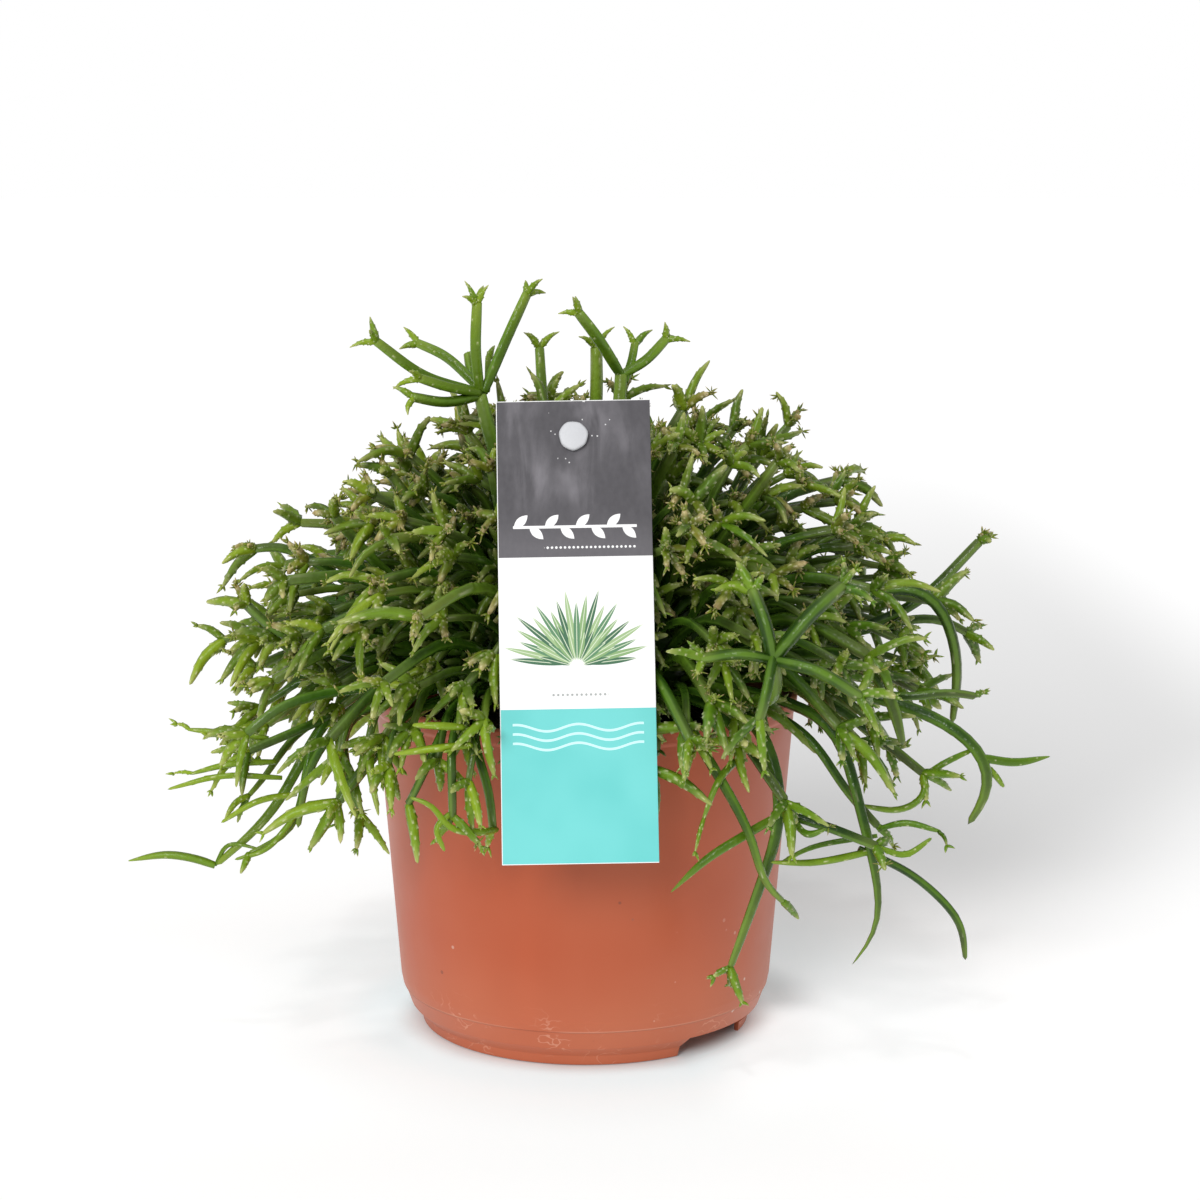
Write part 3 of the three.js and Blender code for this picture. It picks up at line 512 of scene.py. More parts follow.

# Shoots past the dome, placed one by one: look, route, radius, and the fingers on the end.
leaders = [
    # a tall forked shoot, left of the middle
    ("top", [(-17, -12, 138), (-26, -17, 170), (-29, -16, 182)], 2, 1),
    ("top", [(-29, -16, 182), (-30, -18, 194), (-29.5, -18, 207)], 1.5, 4),
    ("top", [(-28, -16, 182), (-22, -10, 196), (-16, -6, 209)], 1.5, 3),
    ("top", [(-29, -16, 182), (-44, -21, 187), (-57, -26, 197)], 1.4, 3),
    ("top", [(-29, -15, 183), (-38, -10, 191), (-47, -6, 195)], 1.4, 2),
    ("top", [(-29, -16, 181), (-38, -24, 180), (-47, -30, 182)], 1.4, 2),
    # a second one to its right
    ("top", [(5, -6, 138), (9, -8, 172), (10, -6, 187)], 1.9, 0),
    ("top", [(10, -6, 186), (4, -12, 196), (-2, -14, 204)], 1.6, 3),
    ("top", [(10, -6, 186), (17, -4, 190), (23, 0, 196)], 1.5, 4),
    ("top", [(11, -6, 184), (13, -4, 190), (14, -2, 195)], 1.2, 2),
    ("top", [(1, 9, 138), (3, 6, 178), (3, 4, 194)], 1.9, 2),
    ("top", [(-9, 1, 138), (-12, 0, 178), (-13, 2, 194)], 1.5, 3),
    # the bush's upper edge
    ("plain", [(30, 8, 132), (45, 7, 156), (60, 8, 170)], 1.6, 3),
    ("plain", [(20, 2, 136), (33, -2, 158), (42, -1, 171)], 1.7, 4),
    ("plain", [(40, -2, 122), (62, -3, 136), (77, -5, 145)], 1.7, 4),
    ("plain", [(44, 5, 112), (68, 3, 128), (84, 1, 139)], 1.6, 4),
    ("plain", [(-40, -13, 118), (-58, -22, 136), (-69, -27, 150)], 1.8, 4),
    ("plain", [(-30, -13, 130), (-45, -19, 149), (-53, -22, 162)], 1.8, 4),
    # right side, standing out and arching over
    ("bare", [(48, 0, 106), (90, 0, 118), (113, 2, 139)], 1.7, 3),
    ("blunt", [(46, -10, 112), (90, -20, 129), (103, -21, 111), (102, -22, 90)], 1.8, 0),
    ("plain", [(48, 4, 103), (96, 8, 115), (111, 10, 110)], 1.6, 3),
    ("blunt", [(46, -17, 104), (88, -30, 97), (107, -36, 87), (111, -38, 76), (105, -36, 65)], 1.9, 0),
    ("lime", [(108, -37, 84), (118, -34, 82), (128, -31, 83)], 1.2, 0),
    ("bare", [(44, -24, 106), (84, -42, 102), (97, -44, 104), (106, -42, 102)], 1.3, 1),
    ("blunt", [(38, -34, 110), (70, -50, 115), (80, -56, 106), (84, -58, 92)], 2, 0),
    # front right, a bright whorl and three trailing shoots
    ("bright", [(28, -36, 106), (47, -78, 108), (47, -91, 122)], 1.9, 0),
    ("bright", [(47, -90, 121), (45, -90, 130), (42, -84, 138)], 1.8, 4),
    ("bright", [(47, -90, 121), (56, -90, 132), (65, -84, 139)], 2, 4),
    ("bright", [(47, -90, 121), (38, -93, 123), (29, -89, 121)], 1.5, 3),
    ("bright", [(47, -90, 121), (58, -95, 119), (69, -93, 112)], 1.7, 4),
    ("bright", [(47, -90, 122), (45, -98, 115), (43, -98, 107)], 1.5, 3),
    ("tailed", [(34, -30, 104), (64, -58, 99), (71, -67, 80), (77, -67, 57), (78, -65, 43),
     (71, -62, 33)], 1.6, 0),
    ("blunt", [(72, -66, 66), (87, -64, 58), (99, -64, 46), (101, -64, 35)], 1.2, 0),
    ("trailing", [(28, -36, 103), (45, -62, 99), (51, -72, 78), (45, -70, 55), (38, -67, 33)], 1.8, 3),
    ("plain", [(51, -72, 77), (63, -75, 74), (76, -76, 69)], 1.5, 2),
    ("lime", [(49, -73, 76), (40, -78, 72), (31, -81, 67), (22, -80, 58)], 1.2, 0),
    # low at the right, crossing the trailing ones
    ("plain", [(44, -40, 101), (59, -56, 94), (69, -58, 80), (78, -60, 70)], 1.4, 2),
    ("plain", [(46, -18, 104), (65, -30, 99), (80, -32, 89), (93, -36, 79)], 1.6, 3),
    ("plain", [(12, -50, 110), (18, -68, 113), (27, -86, 99)], 1.9, 4),
    ("trailing", [(24, -52, 104), (29, -75, 97), (42, -81, 75), (46, -79, 60), (52, -76, 54)], 1.5, 1),
    # left side, the longest one lying out to the tip
    ("trailing", [(-46, -16, 106), (-69, -32, 96), (-85, -40, 70), (-101, -42, 55)], 1.6, 0),
    ("lime", [(-101, -42, 55), (-107, -42, 57), (-115, -42, 58), (-125, -41, 56)], 1.2, 0),
    ("trailing", [(-46, -18, 103), (-72, -34, 93), (-79, -41, 66), (-92, -46, 59)], 1.4, 1),
    ("plain", [(-46, -18, 106), (-80, -36, 117), (-92, -38, 127)], 1.7, 4),
    ("plain", [(-46, -10, 114), (-80, -18, 138), (-92, -20, 139)], 1.6, 4),
    ("plain", [(-48, -6, 108), (-88, -8, 114), (-103, -6, 111)], 1.5, 3),
    ("plain", [(-36, -32, 106), (-76, -56, 104), (-90, -60, 95)], 1.6, 4),
    ("plain", [(-46, -16, 103), (-72, -34, 94), (-92, -44, 87)], 1.5, 4),
    ("plain", [(-36, -30, 103), (-61, -48, 99), (-65, -53, 90), (-60, -55, 72)], 1.7, 3),
    # in front of the pot, left of the label
    ("plain", [(-24, -44, 104), (-29, -70, 98), (-25, -74, 84), (-24, -72, 72)], 1.4, 1),
    ("plain", [(-30, -46, 104), (-34, -78, 99), (-34, -84, 88), (-34, -82, 78)], 1.4, 2),
    ("plain", [(-34, -40, 102), (-38, -74, 97), (-42, -79, 88), (-46, -77, 80)], 1.3, 1),
]
# Finer ones that the solids leave out.
fineShoots = [
    ("top", [(-29, -17, 182), (-37, -24, 184), (-45, -29, 187)], 1.4, 2),
    ("top", [(-30, -11, 181), (-32, -7, 187), (-33, -4, 192)], 1.1, 1),
    ("top", [(-27, -12, 182), (-27, -8, 187), (-27, -6, 191)], 0.9, 1),
    ("young", [(109, -36, 82), (112, -35, 79), (115, -34, 75)], 0.9, 0),
    ("young", [(76, -76, 69), (83, -76, 67), (90, -74, 71)], 0.95, 0),
    ("young", [(78, -60, 70), (85, -62, 72), (94, -64, 70)], 0.9, 1),
    ("young", [(78, -66, 66), (61, -72, 64), (48, -76, 65)], 0.95, 0),
    ("young", [(77, -64, 69), (61, -63, 66), (51, -66, 62)], 0.85, 0),
    ("young", [(93, -36, 79), (99, -37, 83), (107, -34, 86)], 1.0, 1),
    ("young", [(93, -36, 79), (92, -38, 73), (85, -40, 70), (74, -42, 72)], 0.9, 0),
    ("young", [(53, -72, 77), (57, -78, 73), (62, -80, 75)], 1.0, 0),
    ("young", [(40, -72, 92), (34, -82, 88), (30, -84, 78)], 1.0, 1),
    ("young", [(-23, -73, 73), (-28, -80, 74), (-35, -83, 76), (-39, -84, 82), (-45, -83, 84)], 1.0, 0),
    ("young", [(-29, -80, 97), (-38, -84, 97), (-49, -82, 95)], 1.0, 0),
    ("young", [(-31, -82, 102), (-37, -85, 103), (-44, -84, 103)], 1.0, 0),
    ("young", [(-34, -82, 80), (-38, -84, 76), (-36, -84, 70)], 0.9, 0),
    ("young", [(-84, -42, 84), (-96, -45, 84), (-107, -44, 81)], 0.95, 1),
    ("young", [(-86, -40, 90), (-98, -42, 92), (-108, -42, 93)], 0.95, 1),
    ("young", [(-82, -44, 80), (-98, -46, 81), (-113, -45, 77)], 0.9, 0),
    ("young", [(-78, -46, 76), (-88, -50, 75), (-98, -50, 69)], 0.85, 0),
    ("young", [(-78, -42, 70), (-86, -46, 61), (-95, -47, 58)], 0.8, 0),
    ("young", [(-101, -42, 55), (-97, -42, 61), (-88, -44, 60)], 0.6, 0),
    ("limb", [(-26, -42, 106), (-30, -62, 107), (-31, -76, 100)], 1.5, 5),
    ("limb", [(-36, -40, 106), (-42, -60, 107), (-45, -72, 99)], 1.5, 5),
    ("limb", [(-20, -46, 106), (-25, -66, 108), (-26, -80, 103)], 1.4, 4),
    ("limb", [(-44, -34, 104), (-54, -54, 103), (-57, -64, 94)], 1.5, 5),
    ("limb", [(-30, -44, 104), (-36, -66, 102), (-38, -79, 92)], 1.4, 4),
    ("limb", [(-36, -52, 103), (-48, -68, 101), (-51, -76, 90)], 1.4, 4),
    ("limb", [(-26, -52, 104), (-28, -76, 99), (-30, -82, 87)], 1.3, 4),
    ("limb", [(-48, -34, 103), (-62, -50, 99), (-65, -58, 89)], 1.4, 4),
    ("limb", [(24, -46, 106), (26, -66, 108), (26, -79, 101)], 1.5, 5),
    ("limb", [(34, -42, 104), (38, -62, 104), (39, -76, 96)], 1.4, 4),
    ("trailing", [(-40, -30, 104), (-62, -44, 98), (-74, -44, 84), (-78, -44, 66)], 1.4, 0),
    ("trailing", [(-44, -18, 104), (-76, -30, 92), (-88, -38, 78), (-92, -42, 74)], 1.3, 2),
]


def randomStream(seed):
    state = seed

    def draw():
        nonlocal state
        state = (state * 1664525 + 1013904223) & 0xFFFFFFFF
        return state / 4294967296
    return draw


def between(limits, share):
    return limits[0] + (limits[1] - limits[0]) * share


def length(vector):
    return math.sqrt(float(vector @ vector))


def unit(vector):
    return vector / (length(vector) or 1.0)


def crossways(axis):  # two directions square to an axis and to each other
    side = unit(np.cross(axis, acrossX if abs(axis[2]) > 0.9 else up))
    return side, np.cross(side, axis)


def leaning(axis, sides, turn, opening):  # away from an axis by an opening, turned round it
    side, third = sides
    return (axis * math.cos(opening) + side * (math.cos(turn) * math.sin(opening))
            + third * (math.sin(turn) * math.sin(opening)))


def cellOf(point):
    x, y, z = point[0], point[1], point[2] - cells["origin"]
    if math.atan2(math.hypot(x, y), z) < cells["crownPolar"]:
        return 0
    turn = math.atan2(y, x) / (2 * math.pi / cells["sectors"])
    return 1 + (math.floor(turn + 0.5) + cells["sectors"]) % cells["sectors"]


def sectorMiddle(cell):
    return (cell - 1) * 2 * math.pi / cells["sectors"]


def keepInCell(point, radius, cell):
    if cell is None:
        return point
    x, y, z = point[0], point[1], point[2] - cells["origin"]
    flat = max(math.hypot(x, y), 1e-6)
    reach = math.sqrt(x * x + y * y + z * z)
    azimuth, polar = math.atan2(y, x), math.atan2(flat, z)
    margin = (radius + cells["gap"] + (cells["sideGap"] if cell else cells["crownGap"])) / reach
    if cell:
        polar = max(polar, cells["crownPolar"] + margin)
        halfRoom = math.pi / cells["sectors"] - math.asin(min((radius + cells["gap"]) / flat, 1))
        turn = azimuth - sectorMiddle(cell)
        turn -= 2 * math.pi * math.floor(turn / (2 * math.pi) + 0.5)
        azimuth = sectorMiddle(cell) + min(max(turn, -halfRoom), halfRoom)
    else:
        polar = min(polar, cells["crownPolar"] - margin)
    side, height = reach * math.sin(polar), cells["origin"] + reach * math.cos(polar)
    return np.array([side * math.cos(azimuth), side * math.sin(azimuth), height])


def keepOffPot(point, radius):
    flat = math.hypot(point[0], point[1])
    overRim = pot["height"] + radius + clear["pot"]
    if point[2] >= overRim:
        return point
    outside = wallRadius(point[2]) + pot["rimBead"] + radius + clear["pot"]
    if flat < pot["rimRadius"] - clear["insideRim"]:
        return np.array([point[0], point[1], overRim])
    if flat < outside:
        return np.array([point[0] / flat * outside, point[1] / flat * outside, point[2]])
    return point


def depthBehindCard(across, along, radius):
    room = radius + clear["card"]
    low = card["holeBelowTop"] - card["height"]
    if abs(across) > card["width"] / 2 + room or not low - room <= along <= card["holeBelowTop"] + room:
        return -math.inf
    if abs(across) > stake["width"] / 2 + room:
        return card["thickness"] / 2 + room
    bow = stake["bow"]
    lower = max(next((i for i, (_, height) in enumerate(bow) if height <= along), 1), 1)
    (backA, alongA), (backB, alongB) = bow[lower - 1], bow[lower]
    share = min(max((alongA - along) / (alongA - alongB), 0), 1)
    middle = backA + (backB - backA) * share + card["thickness"] / 2 + stake["behindCard"]
    return middle + stake["thickness"] + room


def keepBehindCard(point, radius):
    local = cardTurn.T @ (point - card["holeAt"])
    depth = depthBehindCard(local[0], local[2], radius)
    if local[1] >= depth:
        return point
    local[1] = depth
    return cardTurn @ local + card["holeAt"]


def settle(point, radius, cell):
    return keepOffPot(keepInCell(keepBehindCard(point, radius), radius, cell), radius)


def isClear(route, radius, cell):
    for start, end in zip(route, route[1:]):
        for share in (0.2, 0.4, 0.6, 0.8):
            point = start + (end - start) * share
            if length(point - settle(point, radius * 0.6, cell)) >= clear["slack"]:
                return False
    return True


class Thicket:  # points along the shoots that already stand
    def __init__(self):
        self.at = np.empty((60000, 3))
        self.radii = np.empty(60000)
        self.count = 0

    def along(self, route):
        points = []
        for start, end in zip(route, route[1:]):
            steps = math.ceil(length(end - start) / spacing)
            points += [start + (end - start) * ((k + 1) / steps) for k in range(steps)]
        return np.array(points)

    def add(self, route, radius):
        points = self.along(route)
        self.at[self.count:self.count + len(points)] = points
        self.radii[self.count:self.count + len(points)] = radius
        self.count += len(points)

    def hasRoom(self, route, radius, freeFrom, clearance):
        points = self.along(route)
        points = points[np.linalg.norm(points - route[0], axis=1) > freeFrom]
        if not len(points) or not self.count:
            return True
        reach = radius + widest + abs(clearance)
        at = self.at[:self.count]
        close = ((at > points.min(0) - reach) & (at < points.max(0) + reach)).all(1)
        gaps = np.linalg.norm(points[:, None] - at[close][None], axis=2)
        return bool((gaps > radius + self.radii[:self.count][close] + clearance).all())


def addFingers(shoots, head, axis, count, cell, draw, style, marks):
    sides = crossways(axis)
    root = head - axis
    firstTurn = draw() * 2 * math.pi
    for i in range(count):
        for attempt in range(style["tries"]):
            turn = firstTurn + i * 2 * math.pi / count + (draw() - 0.5) * (0.7 + attempt * 0.5)
            opening = math.radians(between(style["opening"], draw()))
            reach = between(style["length"], draw())
            heading = leaning(axis, sides, turn, opening)
            middle = head + heading * (reach * 0.5)
            tip = head + heading * reach - up * (reach * style["sag"])
            route = [root, settle(middle, style["radius"], cell), settle(tip, 0.5, cell)]
            room = min(length(route[1] - root), length(route[2] - route[1]))
            if room < reach * 0.3 or not isClear(route[1:], style["radius"], cell):
                continue
            if not shoots["thicket"].hasRoom(route, style["room"], style["free"], style["clearance"]):
                continue
            shoots["list"].append({"kind": "finger", "route": route, "radius": style["radius"], **marks})
            shoots["thicket"].add(route[1:], style["room"])
            break


def addLimb(shoots, points, radius, fingers, cell, draw, style, marks, rootFree=None):
    route = [settle(np.array(point, float), radius, cell) for point in points]
    if not isClear(route, radius, cell):
        return False
    if rootFree and not shoots["thicket"].hasRoom(route, radius, rootFree, style["clearance"]):
        return False
    shoots["list"].append({"kind": "limb", "route": route, "radius": radius, **marks})
    shoots["thicket"].add(route, radius)
    axis = unit(route[-1] - route[-2])
    stem = radius * girths[looks[marks["look"]]["girth"]][-1] + 0.2
    addFingers(shoots, route[-1], axis, fingers, cell, draw, style["finger"], {**marks, "stem": stem})
    return True


def addWhorl(shoots, index, style):
    draw = randomStream(style["seed"] + index * whorlStep)
    share = (index + 0.5) / style["count"]
    polar = math.acos(1 - share ** style["crowding"] * (1 - math.cos(style["lowest"])))
    middleOfHeart = np.array([0, 0, heart["centre"]], float)
    for _ in range(style["tries"]):
        azimuth = index * goldenAngle + (draw() - 0.5) * style["scatter"]
        reach = between(style["reach"], draw())
        flat = dome["halfWidth"] * math.sin(polar)
        head = np.array([
            flat * math.cos(azimuth) * reach,
            flat * math.sin(azimuth) * reach,
            dome["centre"] + dome["halfHeight"] * math.cos(polar) * reach,
        ])
        root = middleOfHeart + (head - middleOfHeart) * style["rootShare"]
        root = root + np.array([draw() - 0.5, draw() - 0.5, draw() - 0.5]) * style["jitter"]
        root[2] = max(root[2], heart["underside"] + mainWhorls["limb"][1])
        middle = (root + head) / 2 + up * (style["arch"] * math.sin(polar))
        radius = between(style["limb"], draw())
        fingers = style["fingers"][0 if draw() < 0.5 else 1]
        cell = cellOf(head)
        marks = {"piece": cell, "look": "limb", "reach": reach}
        free = length(root - head) * 0.5
        if addLimb(shoots, [root, middle, head], radius, fingers, cell if style["inCells"] else None,
                   draw, style, marks, free):
            return


def addLeader(shoots, leader, style, seed):
    look, route, radius, fingers = leader
    cell = cellOf(route[1])
    marks = {"piece": cell, "look": look, "reach": 1.0}
    kept = cell if style["inCells"] else None
    if not addLimb(shoots, route, radius, fingers, kept, randomStream(seed), style, marks):
        print("left out, too near the label or the pot:", look, route[-1])


def growShoots():
    shoots = {"list": [], "thicket": Thicket()}
    for i, leader in enumerate(leaders):
        addLeader(shoots, leader, mainWhorls, leaderSeed + i * leaderStep)
    for i in range(mainWhorls["count"]):
        addWhorl(shoots, i, mainWhorls)
    solidCount = len(shoots["list"])
    for i, leader in enumerate(fineShoots):
        addLeader(shoots, leader, fillWhorls, 2 * leaderSeed + i * leaderStep)
    for i in range(fillWhorls["count"]):
        addWhorl(shoots, i, fillWhorls)
    print("shoots like the solids:", solidCount, "and between them:", len(shoots["list"]) - solidCount)
    return shoots["list"]


forms = {  # to bend along the shoots: ribs alternate with grooves, and a few faces stand out as areoles
    "leader": {"sides": 10, "levels": 24, "groove": 0.9, "tip": 0.02, "teeth": 8, "tooth": 0.08, "from": 0},
    "limb": {"sides": 8, "levels": 8, "groove": 0.9, "tip": 0.03, "teeth": 4, "tooth": 0.1, "from": 0},
    "whip": {"sides": 8, "levels": 16, "groove": 0.84, "tip": 0.03,
             "teeth": 12, "tooth": 0.26, "from": 0.15},
    "finger": {"sides": 8, "levels": 11, "groove": 0.84, "tip": 0.03,
               "teeth": 16, "tooth": 0.44, "from": 0.1},
    "knobbly": {"sides": 8, "levels": 7, "groove": 0.84, "tip": 0.1,
                "teeth": 15, "tooth": 0.5, "from": 0.1},
    "inner": {"sides": 6, "levels": 5, "groove": 0.8, "tip": 0.1, "teeth": 5, "tooth": 0.4, "from": 0.2},
    "bud": {"sides": 4, "levels": 3, "groove": 0.86, "tip": 0.2, "teeth": 2, "tooth": 0.3, "from": 0.2},
    "tuft": {"sides": 4, "levels": 2, "groove": 0.8, "tip": 0.3, "teeth": 0, "tooth": 0, "from": 0},
}
girths = {  # share of the radius along the shoot, at even steps
    "leader": (0.8, 0.95, 1, 1, 1, 1, 0.97, 0.9),
    "trailing": (0.85, 1, 1.05, 1, 0.95, 0.88, 0.76, 0.55),
    "tailed": (0.85, 1, 1, 1, 1, 0.95, 0.85, 0.7, 0.45, 0.12),
    "blunt": (0.8, 0.95, 1, 1, 1, 1, 0.98, 0.94, 0.84, 0.5),
    "whip": (0.75, 0.95, 1.05, 1.05, 1, 0.92, 0.75, 0.4),
    "limb": (0.75, 0.95, 1, 1.02, 1, 0.98, 0.94, 0.84),
    "finger": (0.8, 0.98, 1.04, 1.02, 0.95, 0.85, 0.71, 0.52, 0.2),
    "knobbly": (0.68, 0.94, 1.08, 1.08, 0.98, 0.86, 0.68, 0.34),
    "bud": (0.75, 1, 1.08, 0.98, 0.8, 0.6, 0.36, 0.1),
    "tuft": (0.8, 1, 0.7, 0.2),
}
linePoints = 25


def azimuthOf(face):
    middle = face.calc_center_median()
    return math.atan2(middle.y, middle.x)


def makeForm(name, seed):
    form = forms[name]
    sides, levels = form["sides"], form["levels"]
    bm = bmesh.new()
    bmesh.ops.create_cone(bm, cap_ends=True, cap_tris=True, segments=sides, radius1=1, radius2=1, depth=1)
    bmesh.ops.translate(bm, verts=bm.verts, vec=(0, 0, 0.5))
    upright = [e for e in bm.edges if abs(e.verts[0].co.z - e.verts[1].co.z) > 0.5]
    bmesh.ops.subdivide_edges(bm, edges=upright, cuts=levels - 1)
    ridgeLayer = bm.verts.layers.float.new("ridge")
    toothLayer = bm.verts.layers.float.new("tooth")
    for vert in bm.verts:
        if math.hypot(vert.co.x, vert.co.y) < 0.5:
            continue
        side = round(math.atan2(vert.co.y, vert.co.x) / (2 * math.pi) * sides)
        onRidge = side % 2 == 0
        reach = 1 if onRidge else form["groove"]
        vert.co.z *= 1 - form["tip"]
        vert[ridgeLayer] = 1.0 if onRidge else 0.0
        vert.co.x *= reach
        vert.co.y *= reach
    draw = randomStream(seed)
    walls = [f for f in bm.faces if len(f.verts) == 4]
    walls.sort(key=lambda f: (f.calc_center_median().z, f.index))
    chosen = set()
    for i in range(form["teeth"]):  # up the form, a turn and a bit apart, as areoles sit
        share = form["from"] + (1 - form["from"]) * (i + 0.2 + draw() * 0.6) / form["teeth"]
        band = min(int(share * levels), levels - 1)
        turn = int(i * sides * 0.382 + draw() * 1.2) % sides
        row = walls[band * sides:(band + 1) * sides]
        row.sort(key=azimuthOf)
        chosen.add(row[turn])
    poked = bmesh.ops.poke(bm, faces=list(chosen), offset=0.0, center_mode="MEAN")
    for vert in poked["verts"]:
        vert.co.x *= 1 + form["tooth"]
        vert.co.y *= 1 + form["tooth"]
        vert.co.z += 0.3 / levels
        vert[toothLayer] = 1.0
    bmesh.ops.recalc_face_normals(bm, faces=bm.faces)
    bm.verts.index_update()
    made = {
        "across": np.array([(v.co.x, v.co.y) for v in bm.verts]),
        "share": np.array([v.co.z for v in bm.verts]),
        "ridge": np.array([v[ridgeLayer] for v in bm.verts]),
        "tooth": np.array([v[toothLayer] for v in bm.verts]),
        "corners": np.array([v.index for f in bm.faces for v in f.verts]),
        "sizes": np.array([len(f.verts) for f in bm.faces]),
    }
    bm.free()
    return made


def smoothLine(route, count=linePoints, easing=44):  # even points on a smooth curve through the route
    points = np.array(route, float)
    padded = np.vstack([2 * points[0] - points[1], points, 2 * points[-1] - points[-2]])
    share = np.linspace(0, 1, 9)[:-1, None]
    stretches = []
    for a, b, c, d in zip(padded, padded[1:], padded[2:], padded[3:]):
        stretches.append(0.5 * (2 * b + (c - a) * share + (2 * a - 5 * b + 4 * c - d) * share ** 2
                                + (3 * b - a - 3 * c + d) * share ** 3))
    dense = np.vstack([*stretches, points[-1:]])
    travelled = np.concatenate([[0], np.cumsum(np.linalg.norm(np.diff(dense, axis=0), axis=1))])
    evenly = np.linspace(0, travelled[-1], 3 * count - 2)
    line = np.stack([np.interp(evenly, travelled, dense[:, k]) for k in range(3)], axis=1)
    for _ in range(easing):  # takes the knees out
        line[1:-1] = (line[:-2] + 2 * line[1:-1] + line[2:]) / 4
    return line[::3]


def normalised(vectors):
    return vectors / np.maximum(np.linalg.norm(vectors, axis=-1, keepdims=True), 1e-9)


def bendForm(form, lines, radii, rolls):  # lines (n, points, 3), radii (n, points), rolls (n)
    count = lines.shape[1]
    along = normalised(np.gradient(lines, axis=1))
    start = along[:, 0]
    steep = np.abs(start[:, 2:]) > 0.9
    across = np.cross(start, np.where(steep, acrossX, up))
    place = np.clip(form["share"], 0, 1) * (count - 1)
    low = np.minimum(place.astype(int), count - 2)
    part = (place - low)[None, :, None]
    at = lines[:, low] * (1 - part) + lines[:, low + 1] * part
    heading = normalised(along[:, low] * (1 - part) + along[:, low + 1] * part)
    girth = radii[:, low] * (1 - part[..., 0]) + radii[:, low + 1] * part[..., 0]
    side = normalised(across[:, None] - heading * (across[:, None] * heading).sum(-1, keepdims=True))
    third = np.cross(heading, side)
    cosine, sine = np.cos(rolls)[:, None], np.sin(rolls)[:, None]
    x, y = form["across"][:, 0], form["across"][:, 1]
    reachX = ((x * cosine - y * sine) * girth)[..., None]
    reachY = ((x * sine + y * cosine) * girth)[..., None]
    return at + side * reachX + third * reachY


class Batch:  # bent copies of the forms, gathered into one mesh
    def __init__(self):
        self.verts, self.corners, self.sizes, self.growth, self.tint = [], [], [], [], []
        self.count = 0

    def add(self, form, shoots):
        made = bendForm(form, *(np.array([s[key] for s in shoots]) for key in ("line", "radii", "roll")))
        copies, size = made.shape[:2]
        self.verts.append(made.reshape(-1, 3))
        offsets = self.count + np.arange(copies)[:, None] * size
        self.corners.append((form["corners"][None] + offsets).ravel())
        self.sizes.append(np.tile(form["sizes"], copies))
        self.count += copies * size

        def ofShoot(key, default=None):  # one value for all of a shoot's points
            values = np.array([s.get(key, default) for s in shoots], float)
            return np.broadcast_to(values[:, None], (copies, size))

        share, tooth, ridge = (np.broadcast_to(form[key], (copies, size))
                               for key in ("share", "tooth", "ridge"))
        dry, tone, shadeDepth, cream = (ofShoot(key) for key in ("dry", "tone", "shadeDepth", "cream"))
        age = ofShoot("age") - ofShoot("fade", 0.1) * share ** 2
        self.growth.append(np.stack([share, tooth, age, dry], -1).reshape(-1, 4))
        self.tint.append(np.stack([tone, ridge, shadeDepth, cream], -1).reshape(-1, 4))

    def addMesh(self, verts, corners, sizes, growth, tint):
        self.verts.append(verts)
        self.corners.append(corners + self.count)
        self.sizes.append(sizes)
        self.growth.append(np.tile(growth, (len(verts), 1)))
        self.tint.append(np.tile(tint, (len(verts), 1)))
        self.count += len(verts)

    def mesh(self, name):
        verts, corners = np.vstack(self.verts), np.concatenate(self.corners)
        sizes = np.concatenate(self.sizes)
        mesh = bpy.data.meshes.new(name)
        mesh.vertices.add(len(verts))
        mesh.vertices.foreach_set("co", (verts * mm).astype(np.float32).ravel())
        mesh.loops.add(len(corners))
        mesh.loops.foreach_set("vertex_index", corners.astype(np.int32))
        mesh.polygons.add(len(sizes))
        starts = np.concatenate([[0], np.cumsum(sizes)[:-1]])
        mesh.polygons.foreach_set("loop_start", starts.astype(np.int32))
        for label, values in (("growth", self.growth), ("tint", self.tint)):
            layer = mesh.attributes.new(label, "FLOAT_COLOR", "POINT")
            layer.data.foreach_set("color", np.vstack(values).astype(np.float32).ravel())
        mesh.update(calc_edges=True)
        mesh.validate()
        mesh.shade_smooth()
        print(name, "triangles:", int((sizes - 2).sum()))
        return mesh


dress = {  # lengths and radii of the small growth, and the share of shoots that bear it
    "seed": 515,
    "dryFrom": (80, 70),  # height where the dry growth starts, and how far up it is full
    "dryOf": {"top": 0.1, "bright": 0.1, "young": 0.1},  # these looks stay nearly free of it
    "paintedShadeRight": 0.0036,  # painted shade that darkens the right side, for each millimetre
    "innermost": 0.93,  # share of the dome's radius, below which shoots get painted shade
    "fingerRadius": {"finger": (1.15, 1.65), "knobbly": (1.0, 1.4)},
    "fingerStretch": {"finger": (0.8, 1.35), "knobbly": (0.45, 0.85)},
    "knobblyShare": (0.16, 0.62),
    "bend": 0.2,
    "roll": 6.28,  # radians, about a full turn
    "topBud": (5.5, 8.5),
    "topBudRadius": 0.95,
    "crownShare": {"finger": 0.5, "knobbly": 0.85},
    "budCount": {"finger": (2, 3), "knobbly": (3, 5)},
    "budLength": {"finger": (1.2, 2.8), "knobbly": (1.3, 3.2)},
    "budRadius": (0.34, 0.56),
    "budOpening": (18, 63),
    # the core's full depth gives it the whole painted shade
    "shadedCore": {"growth": (0.3, 0, 1, 0.3), "tint": (0.5, 0, 1, 0), "swell": (0.12, 0.06)},
    "tufts": {"share": 0.55, "count": (4, 7), "opening": (20, 105), "length": (0.9, 2.1),
              "radius": (0.2, 0.36)},
    "inner": {"count": 620, "lowest": math.radians(96), "length": (7, 13), "radius": (1.1, 1.5)},
    "coreShare": 0.8,
}
